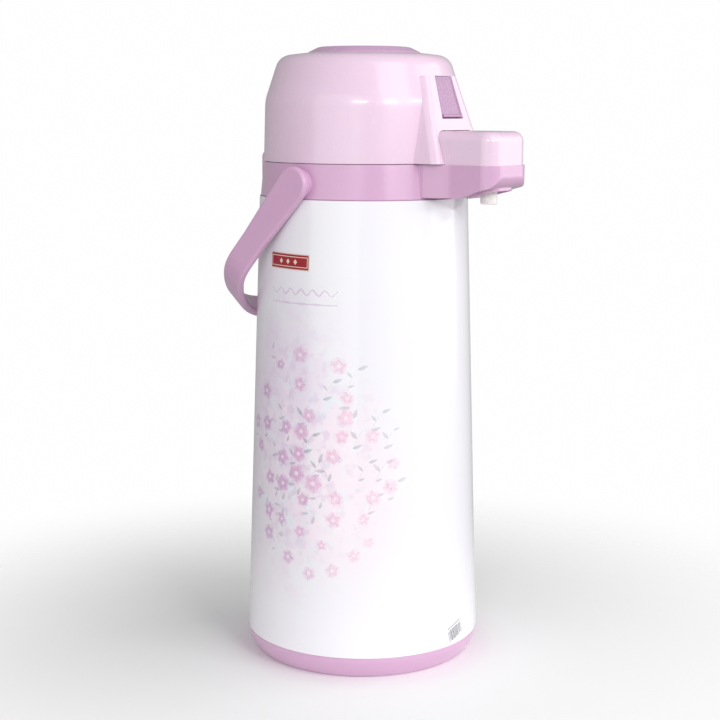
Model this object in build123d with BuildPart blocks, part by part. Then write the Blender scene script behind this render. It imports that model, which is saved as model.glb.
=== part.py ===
from build123d import *
import os
from math import atan2, cos, radians, sin, tan

# Air pot (pump pot). Millimetres, +Z up, origin on the axis at the foot.
# The spout points to -Y, the lid hinge is at +Y, the bail handle pivots on the X axis.

# ---------------------------------------------------------------- driving dimensions
base_radius = 75.0          # body at the top of the base ring
foot_radius = 69.3          # outer edge of the foot
base_height = 14.35         # top of the base ring
body_height = 280.0         # length of the tin sleeve
body_top_radius = 65.8      # sleeve radius under the collar
tin = 0.6                   # sleeve wall
collar_height = 21.3        # collar band
collar_step = 0.7           # sleeve over collar
collar_taper = 1.9          # radius lost from bottom to top of the collar
lid_side_height = 37.4      # nearly vertical part of the lid, up to its crease
lid_cone_height = 26.9      # from the crease to the point where cone and top would meet
lid_side_taper = 1.0
lid_cone_taper = 8.9
shoulder_radius = 10.0      # rounding between cone and top
crease_rounding = 25.0      # soft rounding of the crease
lid_top_rise = 2.0          # the top climbs this much towards the button
button_radius = 35.7
button_flat = 7.2           # width of the button's sloped edge
button_proud = 3.7          # button top above the rim of its well
button_travel = 20.0
spout_reach = 109.5         # axis to the front of the lower spout
spout_half_width = 20.5
spout_corner = 9.5
spout_flare = 3.5           # the lower spout widens by this much at its root
cover_step = 0.8            # the spout cover is this much smaller all round
cover_height = 19.8
nozzle_radius = 5.1
nozzle_back = 16.1          # nozzle axis behind the front of the spout
nozzle_drop = 23.4          # nozzle tip below the seam
pipe_radius = 4.5
pipe_bore = 3.2
pipe_drop = 6.7             # pipe axis below the seam
tube_radius = 3.2
tube_bore = 2.6
tube_offset = 20.0          # dip tube in front of the pot's axis
mouth_bore = 27.0           # radius of the filling throat
flask_neck_bore = 25.9
glass = 1.6
flask_inner_radius = 57.5   # outside of the inner glass
vacuum_gap = 3.4
pivot_drop = 12.0           # bail pivot below the seam
bail_reach = 114.8          # pivot to the middle of the grip
arm_gap = 0.45              # bail arm beside the sleeve, at the end of its straight part
bail_thickness = 5.2
bail_hub_radius = 10.7
bail_width = 17.0
bail_straight = 63.0        # straight part of an arm
bail_corner = 30.0
bail_tilt = 41.4            # folded back, from straight down
pivot_pin_radius = 4.0
hinge_behind = 4.4          # hinge axis behind the collar's top edge
hinge_rise = 1.3            # hinge axis above the seam
hinge_pin_radius = 1.5
knuckle_radius = 4.2
panel_half_top = 17.8
panel_half_bottom = 27.0
panel_drop = 14.4           # panel top below the rim of the button well
panel_slope = 16.8          # degrees from vertical
panel_ledge = 2.1           # panel front stands this far out of the lid at its top
lever_half_top = 8.3
lever_half_bottom = 10.7
lever_length = 25.4
lever_pin_radius = 0.9
wall = 2.2                  # plastic shells
running = 0.05              # radial clearance of pins that turn
slip = 0.3                  # clearance between parts that pass each other
seam_gap = 0.4              # lid over collar
screw_radius = 1.2
screw_places = range(45, 360, 90)

# ---------------------------------------------------------------- derived levels and radii
body_top = base_height + body_height
seam = body_top + collar_height
collar_bottom_radius = body_top_radius - collar_step
collar_top_radius = collar_bottom_radius - collar_taper
lid_bottom = seam + seam_gap
lid_radius = collar_top_radius - 0.2
crease = lid_bottom + lid_side_height
crease_radius = lid_radius - lid_side_taper
apex = crease + lid_cone_height
apex_radius = crease_radius - lid_cone_taper
rim = apex + lid_top_rise
well_radius = button_radius + 0.6
well_wall = 1.8
button_top = rim + button_proud
press_plate_bottom = rim - button_travel - 6.3
press_plate_top = press_plate_bottom + 2.5
well_bottom = press_plate_bottom - 6.0
pivot_z = seam - pivot_drop
hinge_y = collar_top_radius + hinge_behind
hinge_z = seam + hinge_rise
pipe_z = seam - pipe_drop
nozzle_tip = seam - nozzle_drop
nozzle_y = nozzle_back - spout_reach
tube_y = -tube_offset
deck_thickness = 2.5
deck_top = pipe_z - pipe_radius - 2.5
deck_bottom = deck_top - deck_thickness
gasket_thickness = 1.4
plate_thickness = 2.5
lid_base_bottom = lid_bottom + slip
lid_base_top = lid_base_bottom + plate_thickness
mouth_top = lid_base_bottom - gasket_thickness
mouth_outer = mouth_bore + 3.4
mouth_flange = mouth_outer + 3.6
mouth_flange_top = deck_top + 1.8
collar_wall_inner = collar_top_radius - wall
rail_outer = lid_radius - wall - 0.6
rail_inner = rail_outer - 1.3
rail_top = seam + 2.8
cover_front = spout_reach - cover_step - slip
cover_half_width = spout_half_width - 0.5
cover_corner = spout_corner - 0.5
cover_rear = -59.0
cover_top = lid_bottom - seam_gap + cover_height


def body_radius(z):
    """Outer radius of the tapered sleeve at height z."""
    share = (z - base_height) / body_height
    return base_radius + (body_top_radius - base_radius) * share


# pot axis to the middle of a bail arm
bail_half_span = body_radius(pivot_z - bail_straight * cos(radians(bail_tilt))) + arm_gap + bail_thickness / 2


def turned(points, rounds=()):
    """A solid turned about the pot's axis from (radius, height) points, some corners rounded."""
    with BuildPart(mode=Mode.PRIVATE) as body:
        with BuildSketch(Plane.XZ) as profile:
            with BuildLine():
                Polyline(*points, close=True)
            make_face()
            for point, radius in rounds:
                fillet(profile.vertices().sort_by_distance(point)[0], radius)
        revolve(axis=Axis.Z)
    return body.part


def tube(inner, outer, bottom, top):
    """A plain ring about the pot's axis."""
    return turned([(inner, bottom), (outer, bottom), (outer, top), (inner, top)])


def block(x0, x1, y0, y1, z0, z1):
    """A plain block between two corners."""
    with BuildPart(mode=Mode.PRIVATE) as piece:
        with BuildSketch(Plane.XY.offset(z0)):
            with Locations(((x0 + x1) / 2, (y0 + y1) / 2)):
                Rectangle(x1 - x0, y1 - y0)
        extrude(amount=z1 - z0)
    return piece.part


def rod(x, y, bottom, top, radius):
    """A round upright bar, boss or bore."""
    with BuildPart(mode=Mode.PRIVATE) as piece:
        with BuildSketch(Plane.XY.offset(bottom)):
            with Locations((x, y)):
                Circle(radius)
        extrude(amount=top - bottom)
    return piece.part


def cross_rod(y, z, x0, x1, radius):
    """A round bar along X."""
    with BuildPart(mode=Mode.PRIVATE) as piece:
        with BuildSketch(Plane.YZ.offset(x0)):
            with Locations((y, z)):
                Circle(radius)
        extrude(amount=x1 - x0)
    return piece.part


def save(part, name):
    """Label a finished piece and write its STEP file."""
    part.label = name
    export_step(part, "parts/" + name + ".step")


os.makedirs("parts", exist_ok=True)

# ---------------------------------------------------------------- base
socket_radius = 32.3
socket_wall = 3.4
socket_lip = 6.0            # socket edge above the floor
cap_radius = socket_radius - slip
cap_wall = 3.0
cap_flange = 2.5
floor_bottom = 6.0
floor_top = 8.5
foot_rim = 7.0
spigot_height = 9.0
spigot_wall = 2.5
spigot_top = base_height + spigot_height
spigot_inner = body_radius(spigot_top) - tin - slip - spigot_wall

with BuildPart() as base_ring:
    with BuildSketch(Plane.XZ):
        with BuildLine():
            foot = Polyline(
                (foot_radius - foot_rim, 0),
                (foot_radius - 1.6, 0),
                (foot_radius, 1.2),
            )
            swell = ThreePointArc(
                foot @ 1,
                (base_radius - 2.3, base_height * 0.42),
                (base_radius - 0.3, base_height - 3.2),
            )
            Polyline(
                swell @ 1,
                (base_radius, base_height - 0.6),
                (base_radius - 0.5, base_height),
                (base_radius - tin - slip, base_height),
                (body_radius(spigot_top) - tin - slip, spigot_top),
                (spigot_inner, spigot_top),
                (spigot_inner, floor_top),
                (socket_radius + socket_wall, floor_top),
                (socket_radius + socket_wall, floor_top + socket_lip),
                (socket_radius, floor_top + socket_lip),
                (socket_radius, floor_bottom),
                (foot_radius - foot_rim, floor_bottom),
                foot @ 0,
            )
        make_face()
    revolve(axis=Axis.Z)
save(base_ring.part, "base_ring")

socket_depth = 8.0
cap_top = floor_bottom + socket_depth
cap_floor = floor_bottom + 1.5
grip_length = 20.0
grip_width = 4.5
grip_height = 2.4
flange_margin = 3.0
cushion_bore = 9.0
with BuildPart() as base_cap:
    add(turned([
        (0, floor_bottom - cap_flange),
        (cap_radius + flange_margin, floor_bottom - cap_flange),
        (cap_radius + flange_margin, floor_bottom),
        (cap_radius, floor_bottom),
        (cap_radius, cap_top),
        (cap_radius - cap_wall, cap_top),
        (cap_radius - cap_wall, cap_floor),
        (0, cap_floor),
    ]))
    with BuildSketch(Plane.XY.offset(floor_bottom - cap_flange)):
        with PolarLocations(cap_radius - 12, 2):
            SlotOverall(grip_length, grip_width, rotation=90)
    extrude(amount=-grip_height)
save(base_cap.part, "base_cap")

flask_bottom = 32.0
cushion_radius = cap_radius - cap_wall - slip
support_cushion = turned([
    (cushion_bore, cap_floor),
    (cushion_radius, cap_floor),
    (cushion_radius, flask_bottom),
    (cushion_bore, flask_bottom),
], [((cushion_radius, flask_bottom), 2)])
save(support_cushion, "support_cushion")

# ---------------------------------------------------------------- tin sleeve
body_shell = turned([
    (base_radius, base_height),
    (body_top_radius, body_top),
    (body_top_radius - tin, body_top),
    (base_radius - tin, base_height),
])
save(body_shell, "body_shell")

# ---------------------------------------------------------------- vacuum flask
seal_thickness = 2.5
lip_top = deck_bottom - seal_thickness - 0.5
lip_bottom = lip_top - glass
neck_glass = flask_neck_bore + glass
shoulder_drop = 44.0
neck_drop = 16.0
bottom_round = 26.0
shoulder_round = 16.0
neck_round = 5.0
neck_gap = 1.9              # between the two necks
outer_lift = 3.4            # outer shoulder above the inner one
seal_margin = 1.5
seal_bore_gap = 0.4
outer_neck_bore = neck_glass + neck_gap
outer_neck = outer_neck_bore + glass
inner_bottom = flask_bottom + glass + vacuum_gap
flask_outer_radius = flask_inner_radius + vacuum_gap + glass


def glass_wall(radius, neck, bottom, neck_top, lift):
    """Radius and height points of one closed side of a glass wall, and its rounded corners."""
    points = [
        (radius, bottom),
        (radius, lip_top - shoulder_drop + lift),
        (neck, lip_top - neck_drop + lift),
        (neck, neck_top),
    ]
    rounds = [(points[0], bottom_round), (points[1], shoulder_round), (points[2], neck_round)]
    return points, rounds


def glass_piece(outside, inside, extra=()):
    """A thin glass vessel between an outer and an inner side, open at the neck."""
    outer_points, outer_rounds = outside
    inner_points, inner_rounds = inside
    points = [(0, outer_points[0][1])] + outer_points + list(extra)
    points += inner_points[::-1] + [(0, inner_points[0][1])]
    return turned(points, outer_rounds + [(p, r - glass) for p, r in inner_rounds])


inner_flask = glass_piece(
    glass_wall(flask_inner_radius, neck_glass, inner_bottom, lip_bottom, 0),
    glass_wall(flask_inner_radius - glass, flask_neck_bore, inner_bottom + glass, lip_top, -glass),
    [(outer_neck, lip_bottom), (outer_neck, lip_top)],
)
save(inner_flask, "inner_flask")

outer_flask = glass_piece(
    glass_wall(flask_outer_radius, outer_neck, flask_bottom, lip_bottom, outer_lift),
    glass_wall(flask_outer_radius - glass, outer_neck_bore, flask_bottom + glass, lip_bottom,
               outer_lift - glass),
)
save(outer_flask, "outer_flask")

neck_seal = turned([
    (flask_neck_bore + seal_bore_gap, lip_top),
    (outer_neck + seal_margin, lip_top),
    (outer_neck + seal_margin, lip_top + seal_thickness),
    (flask_neck_bore + seal_bore_gap, lip_top + seal_thickness),
])
save(neck_seal, "neck_seal")

# ---------------------------------------------------------------- spout shapes
spout_floor = body_top + 1.7
spout_rise_start = 25.0     # behind the front, where the spout's underside begins to rise
spout_tip_rise = 9.5
spout_shoulder = 6.0        # flat ends of the flared root
spout_chin = 11.0           # behind the front, where the tip turns up
flare_rounding = 20.0
rise_rounding = 14.0
tip_rounding = 8.0
spout_flare_length = 16.0
spout_root = -56.0
floor_wall = 2.0


def spout_outline(half_width, front, corner, flare, root):
    """Plan of a spout half: flared root, straight sides and two rounded front corners."""
    with BuildSketch(Plane.XY) as plan:
        with BuildLine():
            Polyline(
                (-half_width - flare, root),
                (-half_width - flare, root - spout_shoulder),
                (-half_width, root - spout_shoulder - spout_flare_length),
                (-half_width, -front),
                (half_width, -front),
                (half_width, root - spout_shoulder - spout_flare_length),
                (half_width + flare, root - spout_shoulder),
                (half_width + flare, root),
                close=True,
            )
        make_face()
        fillet(plan.vertices().group_by(Axis.Y)[0], corner)
        if flare > 0:
            bend = root - spout_shoulder - spout_flare_length
            fillet(plan.vertices().filter_by_position(Axis.Y, bend - 0.1, bend + 0.1), flare_rounding)
    return plan.sketch


def trough_block(inset):
    """Solid of the lower spout, smaller by inset on every side but its open top."""
    front = spout_reach - inset
    low = spout_floor + inset
    with BuildPart(mode=Mode.PRIVATE) as solid:
        add(spout_outline(spout_half_width - inset, front, spout_corner - inset, spout_flare,
                          spout_root + inset))
        extrude(amount=seam)
        with BuildSketch(Plane.YZ) as side:
            with BuildLine():
                Polyline(
                    (spout_root + inset, low),
                    (spout_rise_start - spout_reach, low),
                    (spout_chin - spout_reach, low + spout_tip_rise / 2),
                    (-front, low + spout_tip_rise - 2),
                    (-front, seam),
                    (spout_root + inset, seam),
                    close=True,
                )
            make_face()
            tip = (-front, low + spout_tip_rise - 2)
            fillet(side.vertices().sort_by_distance(tip)[0], tip_rounding - inset)
            bend = (spout_rise_start - spout_reach, low)
            fillet(side.vertices().sort_by_distance(bend)[0], rise_rounding)
        extrude(amount=2 * spout_half_width, both=True, mode=Mode.INTERSECT)
    return solid.part


# ---------------------------------------------------------------- collar
collar_spigot = 6.4
ear_inner = 9.0
ear_outer = 15.0
ear_back = hinge_y + knuckle_radius
boss_radius = 9.0
pin_inner = rail_inner
arm_inner = bail_half_span - bail_thickness / 2
catch_inner = 6.5
catch_outer = 10.0
latch_rear = -53.0
latch_thickness = 2.0
boss_half_width = 13.0
boss_back = 27.5
boss_front = 4.5
boss_floor = nozzle_tip + 10.6
boss_wall = 1.8
boss_roof = 2.0
nozzle_flange = 7.0
screw_x = 13.5
screw_y = -72.0
post_radius = 3.4           # posts that hold the screws
head_radius = 2.6
head_height = 1.8
boss_rounding = 8.0
boss_chamfer = 6.4          # rise of the boss's slanted edge

with BuildPart() as collar:
    add(turned([
        (body_radius(body_top - collar_spigot) - tin - slip - wall, body_top - collar_spigot),
        (body_top_radius - tin - slip, body_top - collar_spigot),
        (body_top_radius - tin - slip, body_top),
        (collar_bottom_radius - 0.5, body_top),
        (collar_bottom_radius, body_top + 0.6),
        (collar_top_radius, seam - 0.4),
        (collar_top_radius - 0.4, seam),
        (rail_outer, seam),
        (rail_outer, rail_top),
        (rail_inner, rail_top),
        (rail_inner, deck_top),
        (mouth_outer + 0.5, deck_top),
        (mouth_outer + 0.5, deck_bottom),
        (collar_wall_inner - 1.5, deck_bottom),
    ]))
    add(block(-spout_half_width - 3, spout_half_width + 3, -collar_bottom_radius, cover_rear + 6.5,
              seam, rail_top), mode=Mode.SUBTRACT)
    add(trough_block(0))
    add(trough_block(floor_wall), mode=Mode.SUBTRACT)
    # the spout's inside is open to the ring over the deck
    add(block(-catch_outer, catch_outer, -collar_bottom_radius - 1, -44, deck_top, seam),
        mode=Mode.SUBTRACT)
    # seat of the nozzle, a rounded boss under the spout with a slanted lower edge
    with BuildSketch(Plane.XY.offset(nozzle_tip + 1)):
        with Locations((0, -spout_reach + (boss_back + boss_front) / 2)):
            RectangleRounded(2 * boss_half_width, boss_back - boss_front, boss_rounding)
    extrude(amount=boss_floor - nozzle_tip - 1)
    with BuildSketch(Plane.YZ):
        with BuildLine():
            Polyline(
                (boss_back - spout_reach + 2, nozzle_tip),
                (boss_back - spout_reach + 2, nozzle_tip + 2.6),
                (boss_front - spout_reach - 2, nozzle_tip + 2.6 + boss_chamfer),
                (boss_front - spout_reach - 2, nozzle_tip),
                close=True,
            )
        make_face()
    extrude(amount=boss_half_width + 2, both=True, mode=Mode.SUBTRACT)
    with BuildSketch(Plane.XY.offset(boss_floor - boss_roof)):
        with Locations((0, -spout_reach + (boss_back + boss_front) / 2)):
            RectangleRounded(2 * (boss_half_width - boss_wall), boss_back - boss_front - 2 * boss_wall,
                             boss_rounding - boss_wall)
    extrude(amount=nozzle_tip - boss_floor, mode=Mode.SUBTRACT)
    add(rod(0, nozzle_y, boss_floor - 4, boss_floor + 4, nozzle_radius), mode=Mode.SUBTRACT)
    add(rod(0, nozzle_y, boss_floor, pipe_z, nozzle_flange + slip), mode=Mode.SUBTRACT)
    # screw bosses of the spout cover
    for x in (-screw_x, screw_x):
        add(rod(x, screw_y, spout_floor + 0.5, seam, post_radius))
        add(rod(x, screw_y, spout_floor - 1, spout_floor + 0.6 + head_height, head_radius + 0.2),
            mode=Mode.SUBTRACT)
        add(rod(x, screw_y, spout_floor, seam + 1, screw_radius), mode=Mode.SUBTRACT)
    # catches of the lid latch
    for side in (-1, 1):
        near, far = sorted((side * catch_inner, side * catch_outer))
        add(block(near, far, latch_rear + 0.6, latch_rear + 3, deck_top - 1, deck_top + 9))
    # hinge ears
    for side in (-1, 1):
        near, far = sorted((side * ear_inner, side * ear_outer))
        add(block(near, far, rail_inner, ear_back, pivot_z - 2, seam - 0.3))
        add(cross_rod(hinge_y, hinge_z, near, far, knuckle_radius))
    ear_edges = collar.edges().filter_by(Axis.X).filter_by_position(Axis.Y, ear_back - 0.1, ear_back + 0.1)
    fillet(ear_edges.filter_by_position(Axis.Z, pivot_z - 3, pivot_z), 3)
    add(cross_rod(hinge_y, hinge_z, -ear_outer, ear_outer, hinge_pin_radius), mode=Mode.SUBTRACT)
    # bosses and bores of the bail pivots
    for side in (-1, 1):
        near, far = sorted((side * (rail_inner - 2), side * (arm_inner - slip)))
        add(cross_rod(0, pivot_z, near, far, boss_radius))
        near, far = sorted((side * pin_inner, side * arm_inner))
        add(cross_rod(0, pivot_z, near, far, pivot_pin_radius), mode=Mode.SUBTRACT)
save(collar.part, "collar")

pivot_depth = 2.8
with BuildPart() as pivot_pins:
    for side in (-1, 1):
        near, far = sorted((side * pin_inner, side * (arm_inner + pivot_depth - 0.2)))
        add(cross_rod(0, pivot_z, near, far, pivot_pin_radius))
save(pivot_pins.part, "pivot_pins")

hinge_pin = cross_rod(hinge_y, hinge_z, -ear_outer - 0.4, ear_outer + 0.4, hinge_pin_radius)
save(hinge_pin, "hinge_pin")

# ---------------------------------------------------------------- throat, pipe, nozzle
mouth_foot = lip_top + seal_thickness
with BuildPart() as mouth_ring:
    add(turned([
        (mouth_bore, mouth_foot),
        (mouth_outer, mouth_foot),
        (mouth_outer, deck_top),
        (mouth_flange, deck_top),
        (mouth_flange, mouth_flange_top),
        (mouth_outer, mouth_flange_top),
        (mouth_outer, mouth_top),
        (mouth_bore, mouth_top),
    ], [((mouth_outer, mouth_top), 0.8), ((mouth_bore, mouth_top), 0.8)]))
    with BuildSketch(Plane.XZ.offset(mouth_bore - 6)):
        with Locations((0, pipe_z)):
            Circle(pipe_radius)
    extrude(amount=16, mode=Mode.SUBTRACT)
save(mouth_ring.part, "mouth_ring")

socket_outer = 5.6
seal_wall = 1.0
seal_height = 5.0
socket_foot = pipe_z - 11.0
end_radius = 6.0
nozzle_seat = boss_floor + 1.4
with BuildPart() as outlet_pipe:
    with BuildSketch(Plane.XZ.offset(-tube_y)):
        with Locations((0, pipe_z)):
            Circle(pipe_radius)
    extrude(amount=tube_y - nozzle_y)
    add(rod(0, tube_y, socket_foot, pipe_z, socket_outer))
    add(rod(0, nozzle_y, nozzle_seat, pipe_z + 1, end_radius))
    for y, radius in ((tube_y, socket_outer), (nozzle_y, end_radius)):
        with Locations((0, y, pipe_z)):
            Sphere(min(radius, mouth_top - pipe_z - 0.6))
    with BuildSketch(Plane.XZ.offset(-tube_y)):
        with Locations((0, pipe_z)):
            Circle(pipe_bore)
    extrude(amount=tube_y - nozzle_y, mode=Mode.SUBTRACT)
    for y in (tube_y, nozzle_y):
        with Locations((0, y, pipe_z)):
            Sphere(pipe_bore, mode=Mode.SUBTRACT)
        add(rod(0, y, socket_foot, pipe_z, pipe_bore), mode=Mode.SUBTRACT)
    add(rod(0, tube_y, socket_foot, socket_foot + seal_height, tube_radius + seal_wall),
        mode=Mode.SUBTRACT)
save(outlet_pipe.part, "outlet_pipe")

tube_foot = inner_bottom + glass + 6.0
tube_top = socket_foot + seal_height + 2
with BuildPart() as dip_tube:
    with BuildSketch(Plane.XY.offset(tube_foot)):
        with Locations((0, tube_y)):
            Circle(tube_radius)
            Circle(tube_bore, mode=Mode.SUBTRACT)
    extrude(amount=tube_top - tube_foot)
save(dip_tube.part, "dip_tube")

with BuildPart() as tube_seal:
    with BuildSketch(Plane.XY.offset(socket_foot)):
        with Locations((0, tube_y)):
            Circle(tube_radius + seal_wall)
            Circle(tube_radius, mode=Mode.SUBTRACT)
    extrude(amount=seal_height)
save(tube_seal.part, "tube_seal")

with BuildPart() as nozzle:
    add(rod(0, nozzle_y, nozzle_tip, nozzle_seat, nozzle_radius))
    fillet(nozzle.edges().group_by(Axis.Z)[0], 0.8)
    add(rod(0, nozzle_y, boss_floor, nozzle_seat, nozzle_flange))
    add(rod(0, nozzle_y, nozzle_tip - 1, nozzle_seat, pipe_bore), mode=Mode.SUBTRACT)
save(nozzle.part, "nozzle")

# ---------------------------------------------------------------- spout cover
cover_wall = 1.8
cover_rounding = 6.0


def cover_block(inset, base):
    """Solid of the spout cover, smaller by inset on every side but its open bottom."""
    with BuildPart(mode=Mode.PRIVATE) as solid:
        with BuildSketch(Plane.XY.offset(base)) as plan:
            with Locations((0, (cover_rear - inset - cover_front + inset) / 2)):
                Rectangle(2 * (cover_half_width - inset), cover_front + cover_rear - 2 * inset)
            fillet(plan.vertices().group_by(Axis.Y)[0], cover_corner - inset)
        extrude(amount=cover_top - inset - base)
        top = solid.faces().sort_by(Axis.Z)[-1]
        rear = top.edges().sort_by(Axis.Y)[-1]
        fillet([edge for edge in top.edges() if edge != rear], cover_rounding - inset)
    return solid.part


with BuildPart() as spout_cover:
    add(cover_block(0, seam))
    add(cover_block(cover_wall, seam), mode=Mode.SUBTRACT)
    for x in (-screw_x, screw_x):
        add(rod(x, screw_y, seam, cover_top - 1, post_radius))
        add(rod(x, screw_y, seam - 1, seam + 12, screw_radius), mode=Mode.SUBTRACT)
save(spout_cover.part, "spout_cover")

with BuildPart() as spout_screws:
    for x in (-screw_x, screw_x):
        add(rod(x, screw_y, spout_floor + 0.6, spout_floor + 0.6 + head_height, head_radius))
        add(rod(x, screw_y, spout_floor + 0.6 + head_height, seam + 10, screw_radius))
save(spout_screws.part, "spout_screws")

# ---------------------------------------------------------------- lid shell
panel_top = rim - panel_drop
panel_rounding = 6.0
panel_root = 50.0           # depth that is cut off behind the panel
lean = tan(radians(panel_slope))
panel_top_y = -(crease_radius - (panel_top - crease) * lid_cone_taper / lid_cone_height + panel_ledge)
panel_front = Plane(origin=(0, panel_top_y, panel_top - 0.3), x_dir=(1, 0, 0),
                    z_dir=(0, -cos(radians(panel_slope)), sin(radians(panel_slope))))


def panel_block(inset):
    """Solid of the raised front panel: it widens downwards and its front leans."""
    bottom_y = panel_top_y - (panel_top - lid_bottom) * lean
    with BuildPart(mode=Mode.PRIVATE) as solid:
        with BuildSketch(Plane.XZ):
            with BuildLine():
                Polyline(
                    (-panel_half_top + inset, panel_top - inset),
                    (panel_half_top - inset, panel_top - inset),
                    (panel_half_bottom - inset, lid_bottom),
                    (-panel_half_bottom + inset, lid_bottom),
                    close=True,
                )
            make_face()
        extrude(amount=-bottom_y + 5)
        with BuildSketch(Plane.YZ):
            with BuildLine():
                Polyline(
                    (panel_top_y + inset, panel_top),
                    (bottom_y + inset, lid_bottom),
                    (bottom_y - 10, lid_bottom),
                    (bottom_y - 10, panel_top),
                    close=True,
                )
            make_face()
        extrude(amount=panel_half_bottom + 5, both=True, mode=Mode.SUBTRACT)
        with BuildSketch(Plane.XY.offset(lid_bottom)):
            with Locations((0, -panel_root / 2 + 5)):
                Rectangle(4 * panel_half_bottom, panel_root)
        extrude(amount=panel_top - lid_bottom, mode=Mode.SUBTRACT)
        front = solid.faces().sort_by(Axis.Y)[0]
        sides = [edge for edge in front.edges() if abs(edge.tangent_at(0.5).Z) > 0.5]
        fillet(sides, panel_rounding - inset)
    return solid.part


def lid_solid(inset):
    """The turned lid without panel, smaller by inset."""
    return turned([
        (0, lid_bottom),
        (lid_radius - inset, lid_bottom),
        (crease_radius - inset, crease - inset * 0.2),
        (apex_radius - inset, apex - inset),
        (well_radius, rim - inset),
        (0, rim - inset),
    ], [((apex_radius - inset, apex - inset), shoulder_radius - inset),
        ((crease_radius - inset, crease - inset * 0.2), crease_rounding - inset)])


latch_half = 5.0
cheek_inner = lever_half_top + 0.9
cheek_width = 2.0
cheek_front = 0.8
cheek_depth = 7.0
cheek_height = 6.0
lever_slot = 0.5            # gap at the lever's sides
lever_axis_drop = 2.0
lever_axis_depth = 2.2
lever_axis = panel_front.from_local_coords(Vector(0, -lever_axis_drop, -lever_axis_depth))
boss_circle = 54.0
boss_height = 22.0
lid_post_radius = 3.2
web_thickness = 2.0
screw_length = 14.0
base_rim = 2.0
web_length = lid_radius - wall / 2 - boss_circle
lever_gap = 0.8
finger_gap = 0.8

with BuildPart() as lid_dome:
    add(lid_solid(0))
    add(panel_block(0))
    add(lid_solid(wall), mode=Mode.SUBTRACT)
    add(tube(well_radius, well_radius + well_wall, well_bottom, rim - 0.4))
    add(rod(0, 0, well_bottom, rim + 1, well_radius), mode=Mode.SUBTRACT)
    add(panel_block(wall), mode=Mode.SUBTRACT)
    # passage of the spout cover
    with BuildSketch(Plane.XZ.offset(-cover_rear - 4)) as passage:
        with Locations((0, lid_bottom + (cover_top + slip - lid_bottom) / 2 - 5)):
            Rectangle(2 * (cover_half_width + slip), cover_top + slip - lid_bottom + 10)
        fillet(passage.vertices().group_by(Axis.Y)[-1], cover_rounding + slip)
    extrude(amount=40, mode=Mode.SUBTRACT)
    # opening of the lever
    with BuildSketch(panel_front):
        with BuildLine():
            Polyline(
                (-lever_half_top - lever_slot, lever_gap),
                (lever_half_top + lever_slot, lever_gap),
                (lever_half_bottom + lever_slot, -lever_length - finger_gap),
                (-lever_half_bottom - lever_slot, -lever_length - finger_gap),
                close=True,
            )
        make_face()
    extrude(amount=12, both=True, mode=Mode.SUBTRACT)
    # cheeks that hold the lever's pin
    for side in (-1, 1):
        with BuildSketch(panel_front.offset(-cheek_front)):
            with Locations((side * (cheek_inner + cheek_width / 2), -lever_axis_drop - 0.5)):
                Rectangle(cheek_width, cheek_height)
        extrude(amount=cheek_front - cheek_depth)
    add(cross_rod(lever_axis.Y, lever_axis.Z, -cheek_inner - 1.5, cheek_inner + 1.5, lever_pin_radius),
        mode=Mode.SUBTRACT)
    # screw bosses of the lid base, each with a web to the wall
    for angle in screw_places:
        x = boss_circle * cos(radians(angle))
        y = boss_circle * sin(radians(angle))
        add(rod(x, y, lid_base_top, lid_base_top + boss_height, lid_post_radius))
        with BuildSketch(Plane.XY.offset(lid_base_top + base_rim + slip)):
            with Locations(Location(((boss_circle + web_length / 2) * cos(radians(angle)),
                                     (boss_circle + web_length / 2) * sin(radians(angle)), 0), angle)):
                Rectangle(web_length, web_thickness)
        extrude(amount=boss_height - base_rim - slip)
        add(rod(x, y, lid_base_top - 1, lid_base_top + screw_length + 2, screw_radius),
            mode=Mode.SUBTRACT)
    # hinge knuckle
    add(cross_rod(hinge_y, hinge_z, -ear_inner + 0.5, ear_inner - 0.5, knuckle_radius))
    add(block(-ear_inner + 0.5, ear_inner - 0.5, lid_radius - wall, hinge_y - 0.5, hinge_z - 0.5,
              hinge_z + knuckle_radius - 0.6))
    add(cross_rod(hinge_y, hinge_z, -ear_outer, ear_outer, hinge_pin_radius + running),
        mode=Mode.SUBTRACT)
save(lid_dome.part, "lid_dome")

# ---------------------------------------------------------------- lid base
base_plate_radius = rail_inner - 0.6
plate_front = latch_rear + 1.0
bellows_radius = well_radius - 3.3
stem_radius = bellows_radius - 7.0
stem_wall = 2.0
stem_foot = 4.0
bellows_fold = 4.5
valve_radius = 9.0
valve_stem = 2.2
air_hole = 1.2
guide_wall = 2.0
guide_inner = latch_half + 0.4
guide_top = lid_base_top + 11.0
post_y = latch_rear + 7.0

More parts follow.
